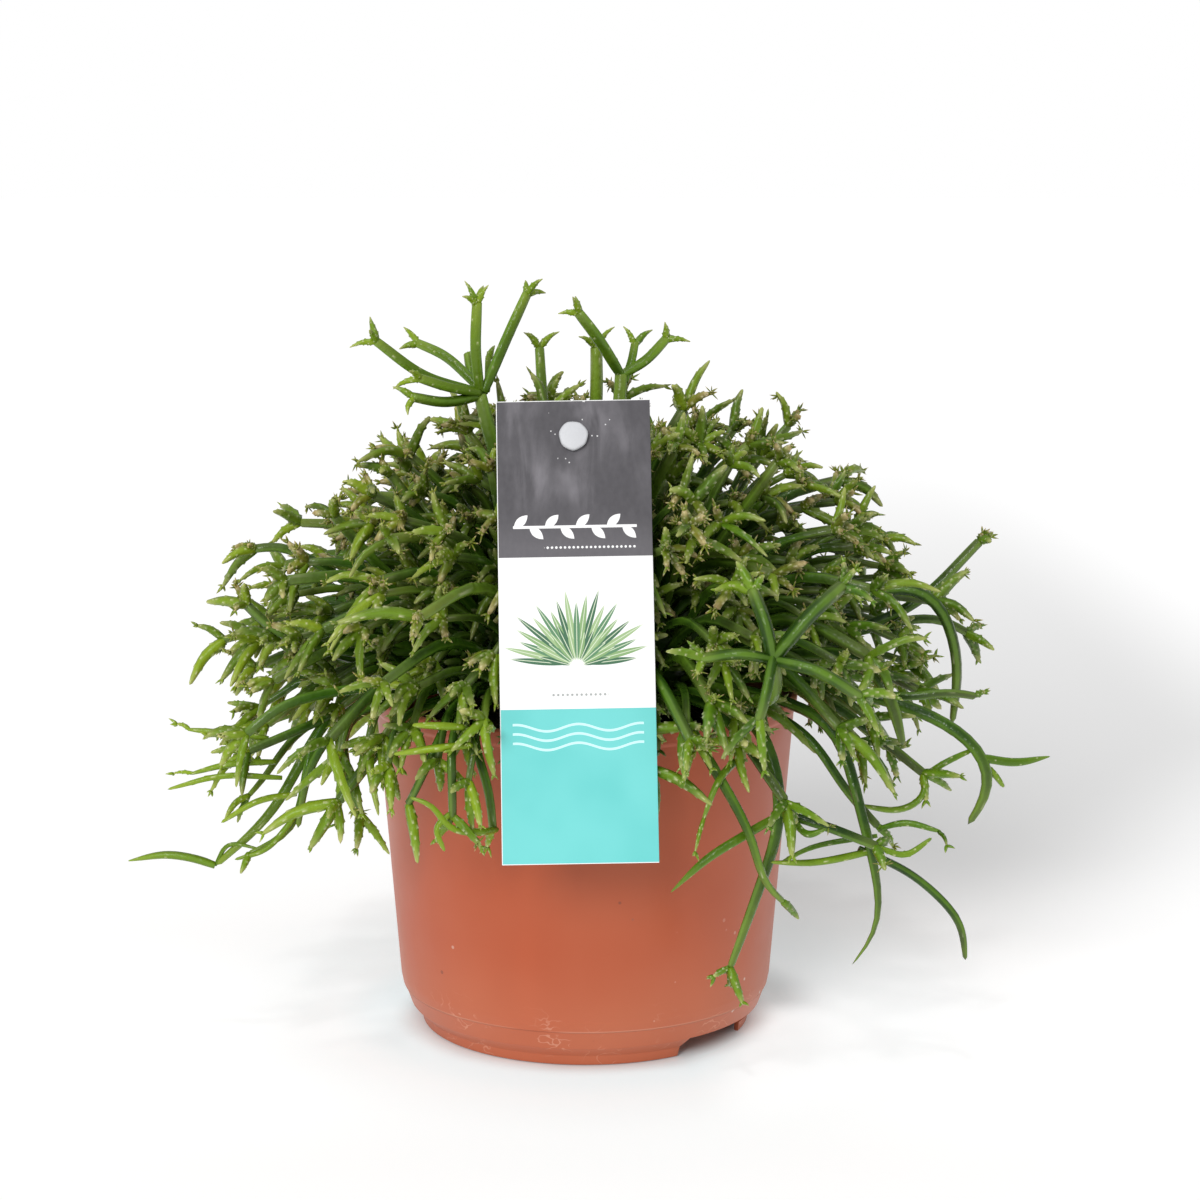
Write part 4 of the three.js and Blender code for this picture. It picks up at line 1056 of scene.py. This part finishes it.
looks = {  # age is 0 for new growth and 1 for old, and fade lowers it towards the growing end
    "top": {"form": "leader", "girth": "leader", "swell": 1.03, "age": (0.45, 0.62), "fade": 0.2,
            "fingers": 1},
    "bright": {"form": "leader", "girth": "leader", "swell": 1, "age": (0.6, 0.72), "fade": 0.2,
               "fingers": 0.8},
    "trailing": {"form": "leader", "girth": "trailing", "swell": 0.95, "age": (0.7, 0.88), "fade": 0.4,
                 "fingers": 0.6},
    "tailed": {"form": "leader", "girth": "tailed", "swell": 1, "age": (0.85, 0.9), "fade": 0.45,
               "fingers": 0},
    "blunt": {"form": "leader", "girth": "blunt", "swell": 0.95, "age": (0.8, 0.95), "fade": 0.3,
              "fingers": 0},
    "bare": {"form": "leader", "girth": "leader", "swell": 0.95, "age": (0.85, 1.0), "fade": 0.15,
             "fingers": 0.5},
    "plain": {"form": "leader", "girth": "leader", "swell": 0.88, "age": (0.75, 1.0), "fade": 0.16,
              "fingers": 0.8},
    "lime": {"form": "leader", "girth": "tailed", "swell": 1, "age": (0.36, 0.5), "fade": 0.2,
             "fingers": 0.7},
    "young": {"form": "whip", "girth": "whip", "swell": 1, "age": (0.2, 0.4), "fade": 0.2,
              "fingers": 0.6},
    "limb": {"form": "limb", "girth": "limb", "swell": 0.86, "age": (0.68, 1.0), "fade": 0.18,
             "fingers": 1},
}


def dressShoots(grown):
    draw = randomStream(dress["seed"])
    shoots = []
    for shoot in grown:
        look = looks[shoot["look"]]
        low, span = dress["dryFrom"]
        dry = float(np.clip((shoot["route"][-1][2] - low) / span, 0, 1)) * (0.5 + 0.5 * draw())
        # a random tone, darker towards the right as painted shade
        tone = draw() * 0.8 + 0.1 + shoot["route"][-1][0] * dress["paintedShadeRight"]
        # how deep inside the bush the shoot stands, for its painted shade
        common = {"piece": shoot["piece"], "tone": min(max(tone, 0), 1), "roll": draw() * dress["roll"],
                  "shadeDepth": float(np.clip((dress["innermost"] - shoot["reach"]) / 0.3, 0, 1)),
                  "dry": dry * dress["dryOf"].get(shoot["look"], 1), "cream": 0.0}
        if shoot["kind"] == "limb":
            shoots.append({**common, "form": look["form"], "girth": look["girth"], "route": shoot["route"],
                           "radius": shoot["radius"] * look["swell"], "age": between(look["age"], draw()),
                           "fade": look["fade"], "dry": common["dry"] * 0.4})
        elif shoot["look"] == "top":
            addTopBud(shoots, shoot["route"], common, draw)
        else:
            addFinger(shoots, shoot, look["fingers"], common, dry, draw)
    return shoots


def addTopBud(shoots, route, common, draw):  # the shoots on top end in small pointed crowns
    reach = between(dress["topBud"], draw()) / max(length(route[2] - route[0]), 1)
    route = [route[0] + (point - route[0]) * min(reach, 1) for point in route]
    shoots.append({**common, "form": "finger", "girth": "bud", "route": route,
                   "radius": dress["topBudRadius"], "age": 0.25, "cream": 0.5})


def addFinger(shoots, shoot, size, common, dry, draw):
    form = "knobbly" if draw() < between(dress["knobblyShare"], dry) else "finger"
    radius = min(between(dress["fingerRadius"][form], draw()) * (0.6 + 0.4 * size), shoot["stem"])
    stretch = between(dress["fingerStretch"][form], draw()) * size
    root, middle, tip = shoot["route"]
    reach = length(tip - root) * stretch
    middle = root + (middle - root) * stretch
    bend = np.array([draw() - 0.5, draw() - 0.5, draw() - 0.6]) * (dress["bend"] * reach)
    tip = root + (tip - root) * stretch + bend
    route = [root, settle(middle, radius, None), settle(tip, 0.5, None)]
    axis = unit(route[2] - route[1])
    knobbly = form == "knobbly"
    shoots.append({**common, "form": form, "girth": form, "route": route,
                   "radius": radius, "age": 0.1 + 0.5 * draw(),
                   "dry": common["dry"] * (1 if knobbly else 0.35), "cream": 0.8 if knobbly else 0.35})
    if draw() < dress["crownShare"][form]:
        addCrown(shoots, route[2], axis, radius, common, form, draw)
    if draw() < dress["tufts"]["share"] * (0.3 + 0.7 * dry) * (1.4 if knobbly else 0.7):
        addTuft(shoots, route[2] - axis * radius * draw() * 2, axis, radius, common, draw)


def addCrown(shoots, tip, axis, radius, common, form, draw):  # small pointed buds round the end of a finger
    sides = crossways(axis)
    count = round(between(dress["budCount"][form], draw()))
    first = draw() * 2 * math.pi
    for i in range(count):
        turn = first + i * 2 * math.pi / count + (draw() - 0.5) * 0.8
        opening = math.radians(between(dress["budOpening"], draw()))
        reach = between(dress["budLength"][form], draw())
        heading = leaning(axis, sides, turn, opening)
        root = tip - axis * (radius * 0.7)
        middle = root + heading * (reach * 0.55)
        end = middle + unit(heading + axis * 0.4) * (reach * 0.5)
        shoots.append({**common, "form": "bud", "girth": "bud", "route": [root, middle, end],
                       "radius": between(dress["budRadius"], draw()), "age": 0.1 + 0.15 * draw(),
                       "cream": 0.5 + 0.5 * draw() if form == "knobbly" else 0.45,
                       "roll": draw() * dress["roll"]})


def addTuft(shoots, tip, axis, radius, common, draw):  # dried scraps of flower and bristle
    tufts = dress["tufts"]
    sides = crossways(axis)
    for _ in range(round(between(tufts["count"], draw()))):
        turn, opening = draw() * 2 * math.pi, math.radians(between(tufts["opening"], draw()))
        heading = leaning(axis, sides, turn, opening)
        root = tip + heading * (radius * 0.4)
        end = root + heading * (radius * 0.4 + between(tufts["length"], draw()))
        shoots.append({**common, "form": "tuft", "girth": "tuft", "route": [root, (root + end) / 2, end],
                       "radius": between(tufts["radius"], draw()), "age": 0.2, "dry": 0.6 + 0.4 * draw(),
                       "tone": draw(), "cream": 1.6, "roll": draw() * dress["roll"]})


def addInnerShoots(shoots):  # the crowded short shoots that close the middle, darkened by painted shade
    draw = randomStream(dress["seed"] + 1)
    inner = dress["inner"]
    core = np.array([heart["halfWidth"], heart["halfWidth"], heart["halfHeight"]]) * dress["coreShare"]
    for i in range(inner["count"]):
        polar = math.acos(1 - (i + 0.5) / inner["count"] * (1 - math.cos(inner["lowest"])))
        azimuth, flat = i * goldenAngle + draw() * 0.3, math.sin(polar)
        away = np.array([flat * math.cos(azimuth), flat * math.sin(azimuth), math.cos(polar)])
        foot = np.array([0, 0, heart["centre"]]) + away * core * (0.92 + 0.2 * draw())
        lean = unit(away + np.array([draw() - 0.5, draw() - 0.5, draw() - 0.2]) * 1.5)
        reach = between(inner["length"], draw())
        middle = foot + lean * reach * 0.5
        end = middle + unit(lean + away * 0.6) * reach * 0.5
        route = [settle(point, 1.2, None) for point in (foot, middle, end)]
        if length(route[2] - route[1]) < 2:
            continue
        shoots.append({"piece": cellOf(foot), "form": "inner", "girth": "knobbly", "route": route,
                       "radius": between(inner["radius"], draw()), "age": 0.5 + 0.5 * draw(),
                       "dry": 0.4 * draw(), "tone": draw(), "roll": draw() * dress["roll"], "shadeDepth": 0.9,
                       "cream": 0.1})


def addTrunks(shoots):  # woody feet of the clusters, standing in the mix, darkened by painted shade
    spots = []
    for i in range(trunk["crownStems"]):
        angle = math.pi / 2 + i * 2 * math.pi / trunk["crownStems"]
        spots.append((0, trunk["crownCircle"], angle))
    for cell in range(1, cells["sectors"] + 1):
        for i, circle in enumerate(trunk["sideCircles"]):
            spots.append((cell, circle, sectorMiddle(cell) + (i - 0.5) * trunk["fan"]))
    for i, (cell, circle, angle) in enumerate(spots):
        x, y = circle * math.cos(angle), circle * math.sin(angle)
        low, high = mix["top"] - trunk["depth"], heart["underside"] + trunk["intoHeart"]
        route = [np.array([x, y, height]) for height in (low, (low + high) / 2, high)]
        shoots.append({"piece": cell, "form": "leader", "girth": "leader", "route": route,
                       "radius": trunk["radius"], "age": 1.0, "dry": 0.6, "tone": (i * 0.37) % 1,
                       "roll": i * 1.1, "shadeDepth": 0.8, "cream": 0.0})


shootLook = {  # pairs are mixed by a shoot's own tone, which carries painted shade on the right, its age, or the mottling
    "fresh": (paint(138, 164, 32), paint(78, 118, 18)),
    "grown": (paint(52, 90, 18), paint(34, 61, 15)),
    "olive": (paint(126, 112, 46), paint(88, 88, 32)),
    "blotch": (paint(146, 170, 44), paint(56, 106, 18)),
    "dried": (paint(112, 74, 44), paint(204, 180, 134)),
    # painted highlight along the ribs
    "ribHighlight": paint(128, 172, 56),
    "tip": paint(206, 200, 134),
    "areole": paint(228, 224, 184),
    # the colour of the painted shade deep inside the bush
    "paintedDepthShade": paint(38, 46, 20),
    "gloss": 0.32,
    "roughness": 0.26,
    "greenFrom": (0.1, 0.75),  # ages
    "oliveUntil": (0.5, 0.95),
    "areolesUntil": (0.2, 0.8),
    "areoles": (0.72, 0.57),  # how pale they are on young shoots, and what age takes away
    "tipFrom": (0.6, 1.0),  # shares of the way along a shoot
    "driedFrom": (0.45, 1.0),
    "depthShadeShare": 0.45,
}


def shootSkin():
    skin = Finish("shootSkin", IOR=1.45, Specular_IOR_Level=shootLook["gloss"])
    share, tooth, age, dry = skin.attribute("growth")
    tone, ridge, shadeDepth, cream = skin.attribute("tint")
    place = skin.place()
    mottle = skin.noise(place, 520, 3)
    blotch = skin.noise(place, 140, 2)
    fresh, grown = skin.mix(tone, *shootLook["fresh"]), skin.mix(tone, *shootLook["grown"])
    colour = skin.mix(age.rise(*shootLook["greenFrom"]), fresh, grown)
    young = 1 - age.rise(*shootLook["oliveUntil"])
    colour = skin.mix(dry * young * 0.8, colour, skin.mix(tone, *shootLook["olive"]))
    colour = skin.mix(blotch.rise(0.4, 0.7) * 0.3, colour, skin.mix(age, *shootLook["blotch"]))
    # paler along the ribs as a painted highlight, and towards the growing end, which is brown where it has
    # dried
    colour = skin.mix(ridge ** 3 * 0.26, colour, shootLook["ribHighlight"])
    tipped = share.rise(*shootLook["tipFrom"]) * (cream * 0.9 + 0.08)
    colour = skin.mix(tipped, colour, shootLook["tip"])
    withered = share.rise(*shootLook["driedFrom"]) * (cream * dry.rise(0.1, 0.6)).rise(0, 1.2)
    dried = skin.mix(mottle.rise(0.35, 0.65), *shootLook["dried"])
    colour = skin.mix(withered, colour, dried)
    paleness, loss = shootLook["areoles"]
    areoles = tooth ** 1.5 * (paleness - age.rise(*shootLook["areolesUntil"]) * loss)
    colour = skin.mix(areoles, colour, shootLook["areole"])
    # painted shade on the shoots deep inside the bush
    skin.set("Base Color", skin.mix(shadeDepth * shootLook["depthShadeShare"], colour, shootLook["paintedDepthShade"]))
    skin.set("Roughness", shootLook["roughness"] - age * 0.1 + mottle * 0.08)
    skin.bump(mottle + blotch * 0.5, 0.0005, 0.7)
    return skin.material


clusters = ("crown", "right", "right_back", "left_back", "left", "left_front", "right_front")  # by cell


def makeShoots():
    shoots = dressShoots(growShoots())
    addInnerShoots(shoots)
    addTrunks(shoots)
    steps = np.linspace(0, 1, linePoints)
    profiles = {name: np.interp(steps, np.linspace(0, 1, len(shares)), shares)
                for name, shares in girths.items()}
    for shoot in shoots:
        shoot["line"] = smoothLine(shoot["route"])
        shoot["radii"] = profiles[shoot["girth"]] * shoot["radius"]
    variants = {name: [makeForm(name, seed) for seed in (31, 38, 45)] for name in forms}
    skin = shootSkin()
    print("forms:", {name: sum(s["form"] == name for s in shoots) for name in forms})
    for cell, name in enumerate(clusters):
        batch = Batch()
        for formName, made in variants.items():
            for k, form in enumerate(made):
                chosen = [s for i, s in enumerate(shoots)
                          if s["piece"] == cell and s["form"] == formName and i % len(made) == k]
                if chosen:
                    batch.add(form, chosen)
        if cell == 0:
            addCore(batch)
        showPiece(batch.mesh("shoots_" + name + "_fine"), skin, "shoots", "shoots_" + name)


def addCore(batch):  # a small core, dark with painted shade where the middle is only shade, that the crowded shoots stand out of
    bm = bmesh.new()
    bmesh.ops.create_icosphere(bm, subdivisions=3, radius=1)
    core = dress["shadedCore"]
    coarse, fine = core["swell"]
    verts = []
    for vert in bm.verts:
        swell = 1 + coarse * noise.noise(vert.co * 4) + fine * noise.noise(vert.co * 11)
        size = dress["coreShare"] * swell
        x, y, z = vert.co
        height = z * heart["halfHeight"] * size + heart["centre"]
        verts.append((x * heart["halfWidth"] * size, y * heart["halfWidth"] * size,
                      max(height, heart["underside"])))
    corners = np.array([v.index for f in bm.faces for v in f.verts])
    sizes = np.array([len(f.verts) for f in bm.faces])
    batch.addMesh(np.array(verts), corners, sizes, core["growth"], core["tint"])
    bm.free()


makeMix()
print("potting mix made")
makeShoots()
print("shoots made")

cardLook = {  # lengths are shares of the card's width, unless a name says otherwise
    "border": 0.2,  # millimetres
    "slate": paint(73, 71, 75),
    "slatePale": paint(124, 121, 126),
    "chalked": (2.1, 2.5),
    "greyLow": (2.0, 2.3),
    "flecks": {"size": 0.12, "spread": 0.07 ** 0.5},
    "white": paint(246, 246, 246),
    "aqua": paint(115, 210, 207),
    "aquaDeep": paint(104, 202, 199),
    "aquaPale": paint(200, 243, 242),
    "slateFrom": 0.6577,  # shares of the card's height
    "aquaTo": 0.3298,
    "grey": paint(168, 172, 170),
    "greens": (paint(70, 112, 84), paint(138, 172, 118), paint(96, 140, 104), paint(160, 188, 138)),
    "vein": paint(214, 226, 200),
    "veinWidth": 0.0025,
    "fans": (  # of narrow leaves
        {"leaves": 21, "at": (0.5, 1.27), "spread": 168, "length": (0.34, 0.47), "width": 0.04,
         "start": 0.05},
        {"leaves": 13, "at": (0.5, 1.26), "spread": 150, "length": (0.18, 0.27), "width": 0.036,
         "start": 0.04},
    ),
    "vine": {"along": 2.17, "span": (0.1, 0.9), "pitch": 0.1, "lift": 0.36, "stem": 0.009},
    "dots": (
        {"along": 2.035, "span": (0.3, 0.9), "pitch": 0.028, "radius": 0.008},
        {"along": 1.08, "span": (0.32, 0.7), "pitch": 0.03, "radius": 0.008},
    ),
    "waves": {"along": (0.87, 0.81, 0.75), "span": (0.08, 0.92), "height": 0.022, "turns": 2.5,
              "line": 0.008},
}


def cardFrame():
    turn = Matrix(cardTurn.tolist()).to_4x4()
    return Matrix.Translation(Vector(card["holeAt"]) * mm) @ turn


def within(across, low, high):
    return (across > low) * (across < high)


def chalkedSlate(skin, uv, across, along):  # wiped strokes of chalk in patches, and flecks round the hole
    swept = {"Vector": skin.stretch(uv, (7, 1.9, 1)), "Scale": 1.0, "Detail": 4.0, "Distortion": 0.6}
    strokes = skin.node("ShaderNodeTexNoise", sockets=swept).rise(0.35, 0.7)
    patches = skin.noise(skin.stretch(uv, (2.4, 1.4, 1)), 1.6, 2).rise(0.34, 0.66)
    middle = 1 - (across - 0.4).absolute().rise(0.1, 0.6)
    chalk = patches * strokes * (0.35 + middle * 0.65) * along.rise(*cardLook["chalked"])
    grain = skin.noise(skin.stretch(uv, (14, 9, 1)), 2, 4) - 0.5
    cell = skin.node("ShaderNodeTexVoronoi", sockets={"Vector": uv, "Scale": 24.0}, out="Distance")
    right, high = across - 0.5, along - (card["height"] - card["holeBelowTop"]) / card["width"]
    nearHole = right * right + high * high < cardLook["flecks"]["spread"] ** 2
    flecks = (cell < cardLook["flecks"]["size"]) * nearHole * (skin.noise(uv, 9, 1) > 0.5)
    low = (1 - along.rise(*cardLook["greyLow"])) * 0.36
    colour = skin.mix(chalk * 0.95 + low + grain * 0.25 + 0.08, cardLook["slate"], cardLook["slatePale"])
    return skin.mix(flecks * 0.7, colour, cardLook["white"])


def fanOfLeaves(skin, across, along, fan, colour):
    order = sorted(range(fan["leaves"]), key=lambda i: -abs(i - (fan["leaves"] - 1) / 2))
    for i in order:  # the low ones first, so that the upright ones lie over them
        share = i / (fan["leaves"] - 1)
        turn = math.radians(90 + (share - 0.5) * fan["spread"])
        size = between(fan["length"], (i * 0.618) % 1)
        reach = fan["start"] + size / 2
        right = across - (fan["at"][0] + reach * math.cos(turn))
        high = along - (fan["at"][1] + reach * math.sin(turn))
        lengthwise = right * math.cos(turn) + high * math.sin(turn)
        crosswise = (high * math.cos(turn) - right * math.sin(turn)).absolute()
        inside = crosswise < (1 - lengthwise * lengthwise * (4 / size ** 2)) * (fan["width"] / 2)
        colour = skin.mix(inside, colour, cardLook["greens"][i % len(cardLook["greens"])])
        colour = skin.mix(inside * (crosswise < cardLook["veinWidth"]), colour, cardLook["vein"])
    return colour


def leafVine(across, along):  # leaves turn about on both sides of a stem
    vine = cardLook["vine"]
    step = across / vine["pitch"]
    part = step.fraction() - 0.5
    side = ((step * 0.5).fraction() > 0.5) * 2 - 1
    rise = (along - vine["along"]) / vine["pitch"] - side * vine["lift"]
    lengthwise = part * 0.72 + rise * side * 0.69
    crosswise = (rise * 0.72 - part * side * 0.69).absolute()
    leaf = crosswise < (1 - lengthwise * lengthwise * 2.6) * 0.28
    stem = (along - vine["along"]).absolute() < vine["stem"]
    return leaf.orElse(stem) * within(across, *vine["span"])


def rowOfDots(across, along, row):
    part = ((across / row["pitch"]).fraction() - 0.5) * row["pitch"]
    level = along - row["along"]
    return (part * part + level * level < row["radius"] ** 2) * within(across, *row["span"])


def waveLines(across, along):
    waves = cardLook["waves"]
    turn = across * (waves["turns"] * 2 * math.pi)
    swing = turn.maths("SINE", turn) * waves["height"]
    lines = [(along - level - swing).absolute() < waves["line"] for level in waves["along"]]
    return (lines[0] + lines[1] + lines[2]) * within(across, *waves["span"])


def cardCoating():
    skin = Finish("coatedBoard", IOR=1.5, Specular_IOR_Level=0.25)
    uv = skin.node("ShaderNodeUVMap", {"uv_map": "face"})
    across, along, _ = skin.split(uv)
    whiteDots, greyDots = (rowOfDots(across, along, row) for row in cardLook["dots"])
    slate = chalkedSlate(skin, uv, across, along)
    slate = skin.mix(leafVine(across, along), slate, cardLook["white"])
    slate = skin.mix(whiteDots, slate, cardLook["white"])
    aqua = skin.mix(skin.noise(uv, 1.6, 2).rise(0.35, 0.7), cardLook["aqua"], cardLook["aquaDeep"])
    aqua = skin.mix(waveLines(across, along), aqua, cardLook["aquaPale"])
    middle = cardLook["white"]
    for fan in cardLook["fans"]:
        middle = fanOfLeaves(skin, across, along, fan, middle)
    middle = skin.mix(greyDots, middle, cardLook["grey"])
    ratio = card["height"] / card["width"]
    colour = skin.mix(along > cardLook["slateFrom"] * ratio, middle, slate)
    colour = skin.mix(along < cardLook["aquaTo"] * ratio, colour, aqua)
    rim = cardLook["border"] / card["width"]
    nearSide = across < rim
    nearEnd = (along - ratio / 2).absolute() > ratio / 2 - rim
    colour = skin.mix(nearSide.orElse(nearEnd), colour, cardLook["white"])
    skin.set("Base Color", colour)
    skin.set("Roughness", 0.4 + skin.noise(uv, 4, 3) * 0.1)
    return skin.material


def makeCard():
    width, height, thick = card["width"] * mm, card["height"] * mm, card["thickness"] * mm
    middle = card["holeBelowTop"] * mm - height / 2
    bm = bmesh.new()
    bmesh.ops.create_cube(bm, size=1, matrix=Matrix.Translation((0, 0, middle)) @ Matrix.Diagonal(
        (width, thick, height, 1)))
    bmesh.ops.bevel(bm, geom=list(bm.edges), offset=card["edge"] * mm, offset_type="OFFSET",
                    affect="EDGES", segments=1, profile=0.5, material=-1)
    hole = bmesh.new()
    radius = card["holeRadius"] * mm
    bmesh.ops.create_cone(hole, cap_ends=True, segments=card["holeSteps"], radius1=radius, radius2=radius,
                          depth=4 * mm, matrix=Matrix.Rotation(math.pi / 2, 4, "X"))
    cutter = cutterFrom(hole, "holeCutter")
    cut = {"object": cutter, "operation": "DIFFERENCE", "solver": "EXACT"}
    mesh = settled(meshFrom(bm, "labelCard"), ("BOOLEAN", cut))
    bpy.data.objects.remove(cutter)
    layer = mesh.uv_layers.new(name="face")
    for loop in mesh.loops:
        at = mesh.vertices[loop.vertex_index].co
        layer.data[loop.index].uv = (at.x / width + 0.5, (at.z - middle + height / 2) / width)
    mesh.transform(cardFrame())
    mesh.name = "labelCard"
    showPiece(mesh, cardCoating(), "card", "label_card")


def stakePlastic():
    skin = Finish("greyPlastic", Roughness=0.42, IOR=1.48)
    place = skin.place()
    skin.set("Base Color", skin.mix(skin.noise(place, 200, 2), stake["grey"], stake["greyDeep"]))
    skin.bump(skin.noise(place, 1500, 2), 0.0002, 0.3)
    return skin.material


def makeStake():
    face = card["thickness"] / 2 + stake["headGap"]
    behind = card["thickness"] / 2 + stake["behindCard"]
    head, high, neck = stake["headRadius"], stake["headHeight"], stake["neckRadius"]
    corners = [(0, -behind), (neck, -behind), (neck, face), (head, face), (head, face + high * 0.75),
               (head * 0.9, face + high), (0, face + high)]
    bm = spunSolid(corners, stake["headSteps"], 0.2)
    bmesh.ops.remove_doubles(bm, verts=bm.verts, dist=1e-6)
    for vert in bm.verts:  # not quite round, as moulded and trimmed
        turn = math.atan2(vert.co.y, vert.co.x)
        swell = 1 + 0.02 * math.sin(3 * turn + 0.8) + 0.014 * math.sin(7 * turn)
        vert.co.x, vert.co.y = vert.co.x * swell, vert.co.y * swell
    bmesh.ops.rotate(bm, verts=bm.verts, cent=(0, 0, 0), matrix=Matrix.Rotation(math.pi / 2, 3, "X"))
    strip = bmesh.ops.create_cube(bm, size=1)["verts"]
    long = [e for e in bm.edges
            if e.verts[0] in strip and abs(e.verts[0].co.z - e.verts[1].co.z) > 0.5]
    bmesh.ops.subdivide_edges(bm, edges=long, cuts=stake["bends"])
    line = smoothLine([(0, back + behind, along) for back, along in stake["bow"]], 60, 0)
    along = normalised(np.gradient(line, axis=0))
    for vert in bm.verts:
        if abs(abs(vert.co.x) - 0.5) < 1e-6:  # the strip's corners are still half a metre out
            share = (0.5 - vert.co.z) * (len(line) - 1)
            low = min(int(share), len(line) - 2)
            at = line[low] + (line[low + 1] - line[low]) * (share - low)
            heading = along[low]
            outward = np.array([0, heading[2], -heading[1]])
            at = at - outward * (vert.co.y * stake["thickness"])
            vert.co = Vector((vert.co.x * stake["width"], at[1], at[2])) * mm
    mesh = meshFrom(bm, "labelStake")
    mesh.transform(cardFrame())
    smoothShading(mesh, 40)
    showPiece(mesh, stakePlastic(), "stake", "label_stake")


makeCard()
makeStake()
print("label made")

studio = {
    "floor": 30,  # metres
    "floorDrop": 0.0002,
    "paleness": 0.75,
    "glow": 0.5,
    "ground": {  # the floor's own light, with painted light and painted shade added to it and taken from it, as shares of white
        "even": 0.38,
        "front": 0.1,
        "shade": 0.27,
        "skirtShade": 0.05,
        # painted light on the floor at the pot's right front
        "edge": 0.085,
        "contactShadow": 0.2,
        "tint": 0.058,
        "warm": 0.07,
        "skirtShadeReach": (60, 105),  # from the pot's axis, as all reaches
        "edgeLightReach": (70, 110),
        "contactShadowReach": (58, 78),
        "tintReach": (60, 150),
        "warmReach": (56, 76),
        "underPot": (42, 57),
        "rightOfPot": (28, 48),
        "shadeLean": (380, 0.55),  # how far back the shade goes on leaning to the right, and how much
    },
    "suns": {
        "key": {"towards": (0.31, 0.82, -0.45), "spread": 22, "strength": 1.5},
        "top": {"towards": (0.15, 0.25, -1), "spread": 60, "strength": 0.35},
        "spark": {"towards": (0.12, 0.5, -0.85), "spread": 5, "strength": 0.35},
    },
    "sky": 0.45,
}


def floorGlow(skin):  # dark under the pot, with painted light in front and at its right front, a painted soft shadow behind it to the right, and painted shade close round its foot
    ground = studio["ground"]
    x, y, _ = skin.split(skin.place())
    x, y = x * (1 / mm), y * (1 / mm)
    away = (x * x + y * y) ** 0.5
    right = x.rise(*ground["rightOfPot"])
    # painted light on the floor in front of the pot
    front = y.rise(-130, -50) * (1 - y.rise(0, 90)) * ground["front"]
    farthest, lean = ground["shadeLean"]
    shift = y.upTo(farthest) * lean
    shade = (1 - (x - shift).rise(40, 170)) * x.rise(10, 70) * y.rise(20, 190) * (1 - y.rise(250, 1700))
    # painted shade close in front of the pot
    skirtShade = (1 - away.rise(*ground["skirtShadeReach"])) * (1 - y.rise(-45, -15)) * ground["skirtShade"]
    # painted light at the pot's right front
    edge = (1 - away.rise(*ground["edgeLightReach"])) * (1 - y.rise(0, 30)) * right * ground["edge"]
    # painted contact shadow at the pot's right
    contactShadow = (1 - away.rise(*ground["contactShadowReach"])) * y.rise(-4, 12) * right * ground["contactShadow"]
    glow = front - shade * ground["shade"] - skirtShade + edge - contactShadow + ground["even"]
    warm = (1 - away.rise(*ground["warmReach"])) * (1 - right) * ground["warm"]
    near = (1 - away.rise(*ground["tintReach"])) * ground["tint"] + warm  # takes back the pot's warm light
    outside = away.rise(*ground["underPot"]) * (1 / studio["glow"])
    colour = {0: (glow - near) * outside, 1: (glow - near * 0.2) * outside, 2: glow * outside}
    return skin.node("ShaderNodeCombineColor", sockets=colour)


def makeFloor():
    bm = bmesh.new()
    bmesh.ops.create_grid(bm, x_segments=1, y_segments=1, size=studio["floor"])
    mesh = meshFrom(bm, "floor")
    skin = Finish("paleFloor", Roughness=0.9, Specular_IOR_Level=0.0, Emission_Strength=studio["glow"])
    skin.set("Base Color", (studio["paleness"],) * 3)
    skin.set("Emission Color", floorGlow(skin))
    mesh.materials.append(skin.material)
    floor = bpy.data.objects.new("floor", mesh)
    floor.location.z = -studio["floorDrop"]
    bpy.context.scene.collection.objects.link(floor)


def addSun(name, towards, spread, strength):
    data = bpy.data.lights.new(name, "SUN")
    data.energy = strength
    data.angle = math.radians(spread)
    lamp = bpy.data.objects.new(name, data)
    lamp.rotation_euler = Vector(towards).to_track_quat("-Z", "Y").to_euler()
    bpy.context.scene.collection.objects.link(lamp)


def makeStudio():
    makeFloor()
    for name, settings in studio["suns"].items():
        addSun(name, **settings)
    world = bpy.data.worlds.new("studio")
    world.use_nodes = True
    tree = world.node_tree
    rays = tree.nodes.new("ShaderNodeLightPath")
    strength = tree.nodes.new("ShaderNodeMapRange")  # the backdrop stays white where the camera sees it
    strength.inputs["To Min"].default_value = studio["sky"]
    strength.inputs["To Max"].default_value = 1.0
    tree.links.new(rays.outputs["Is Camera Ray"], strength.inputs["Value"])
    tree.links.new(strength.outputs["Result"], tree.nodes["Background"].inputs["Strength"])
    tree.nodes["Background"].inputs["Color"].default_value = (1, 1, 1, 1)
    bpy.context.scene.world = world
    bpy.context.scene.view_settings.view_transform = "Standard"


makeStudio()
print("studio made")
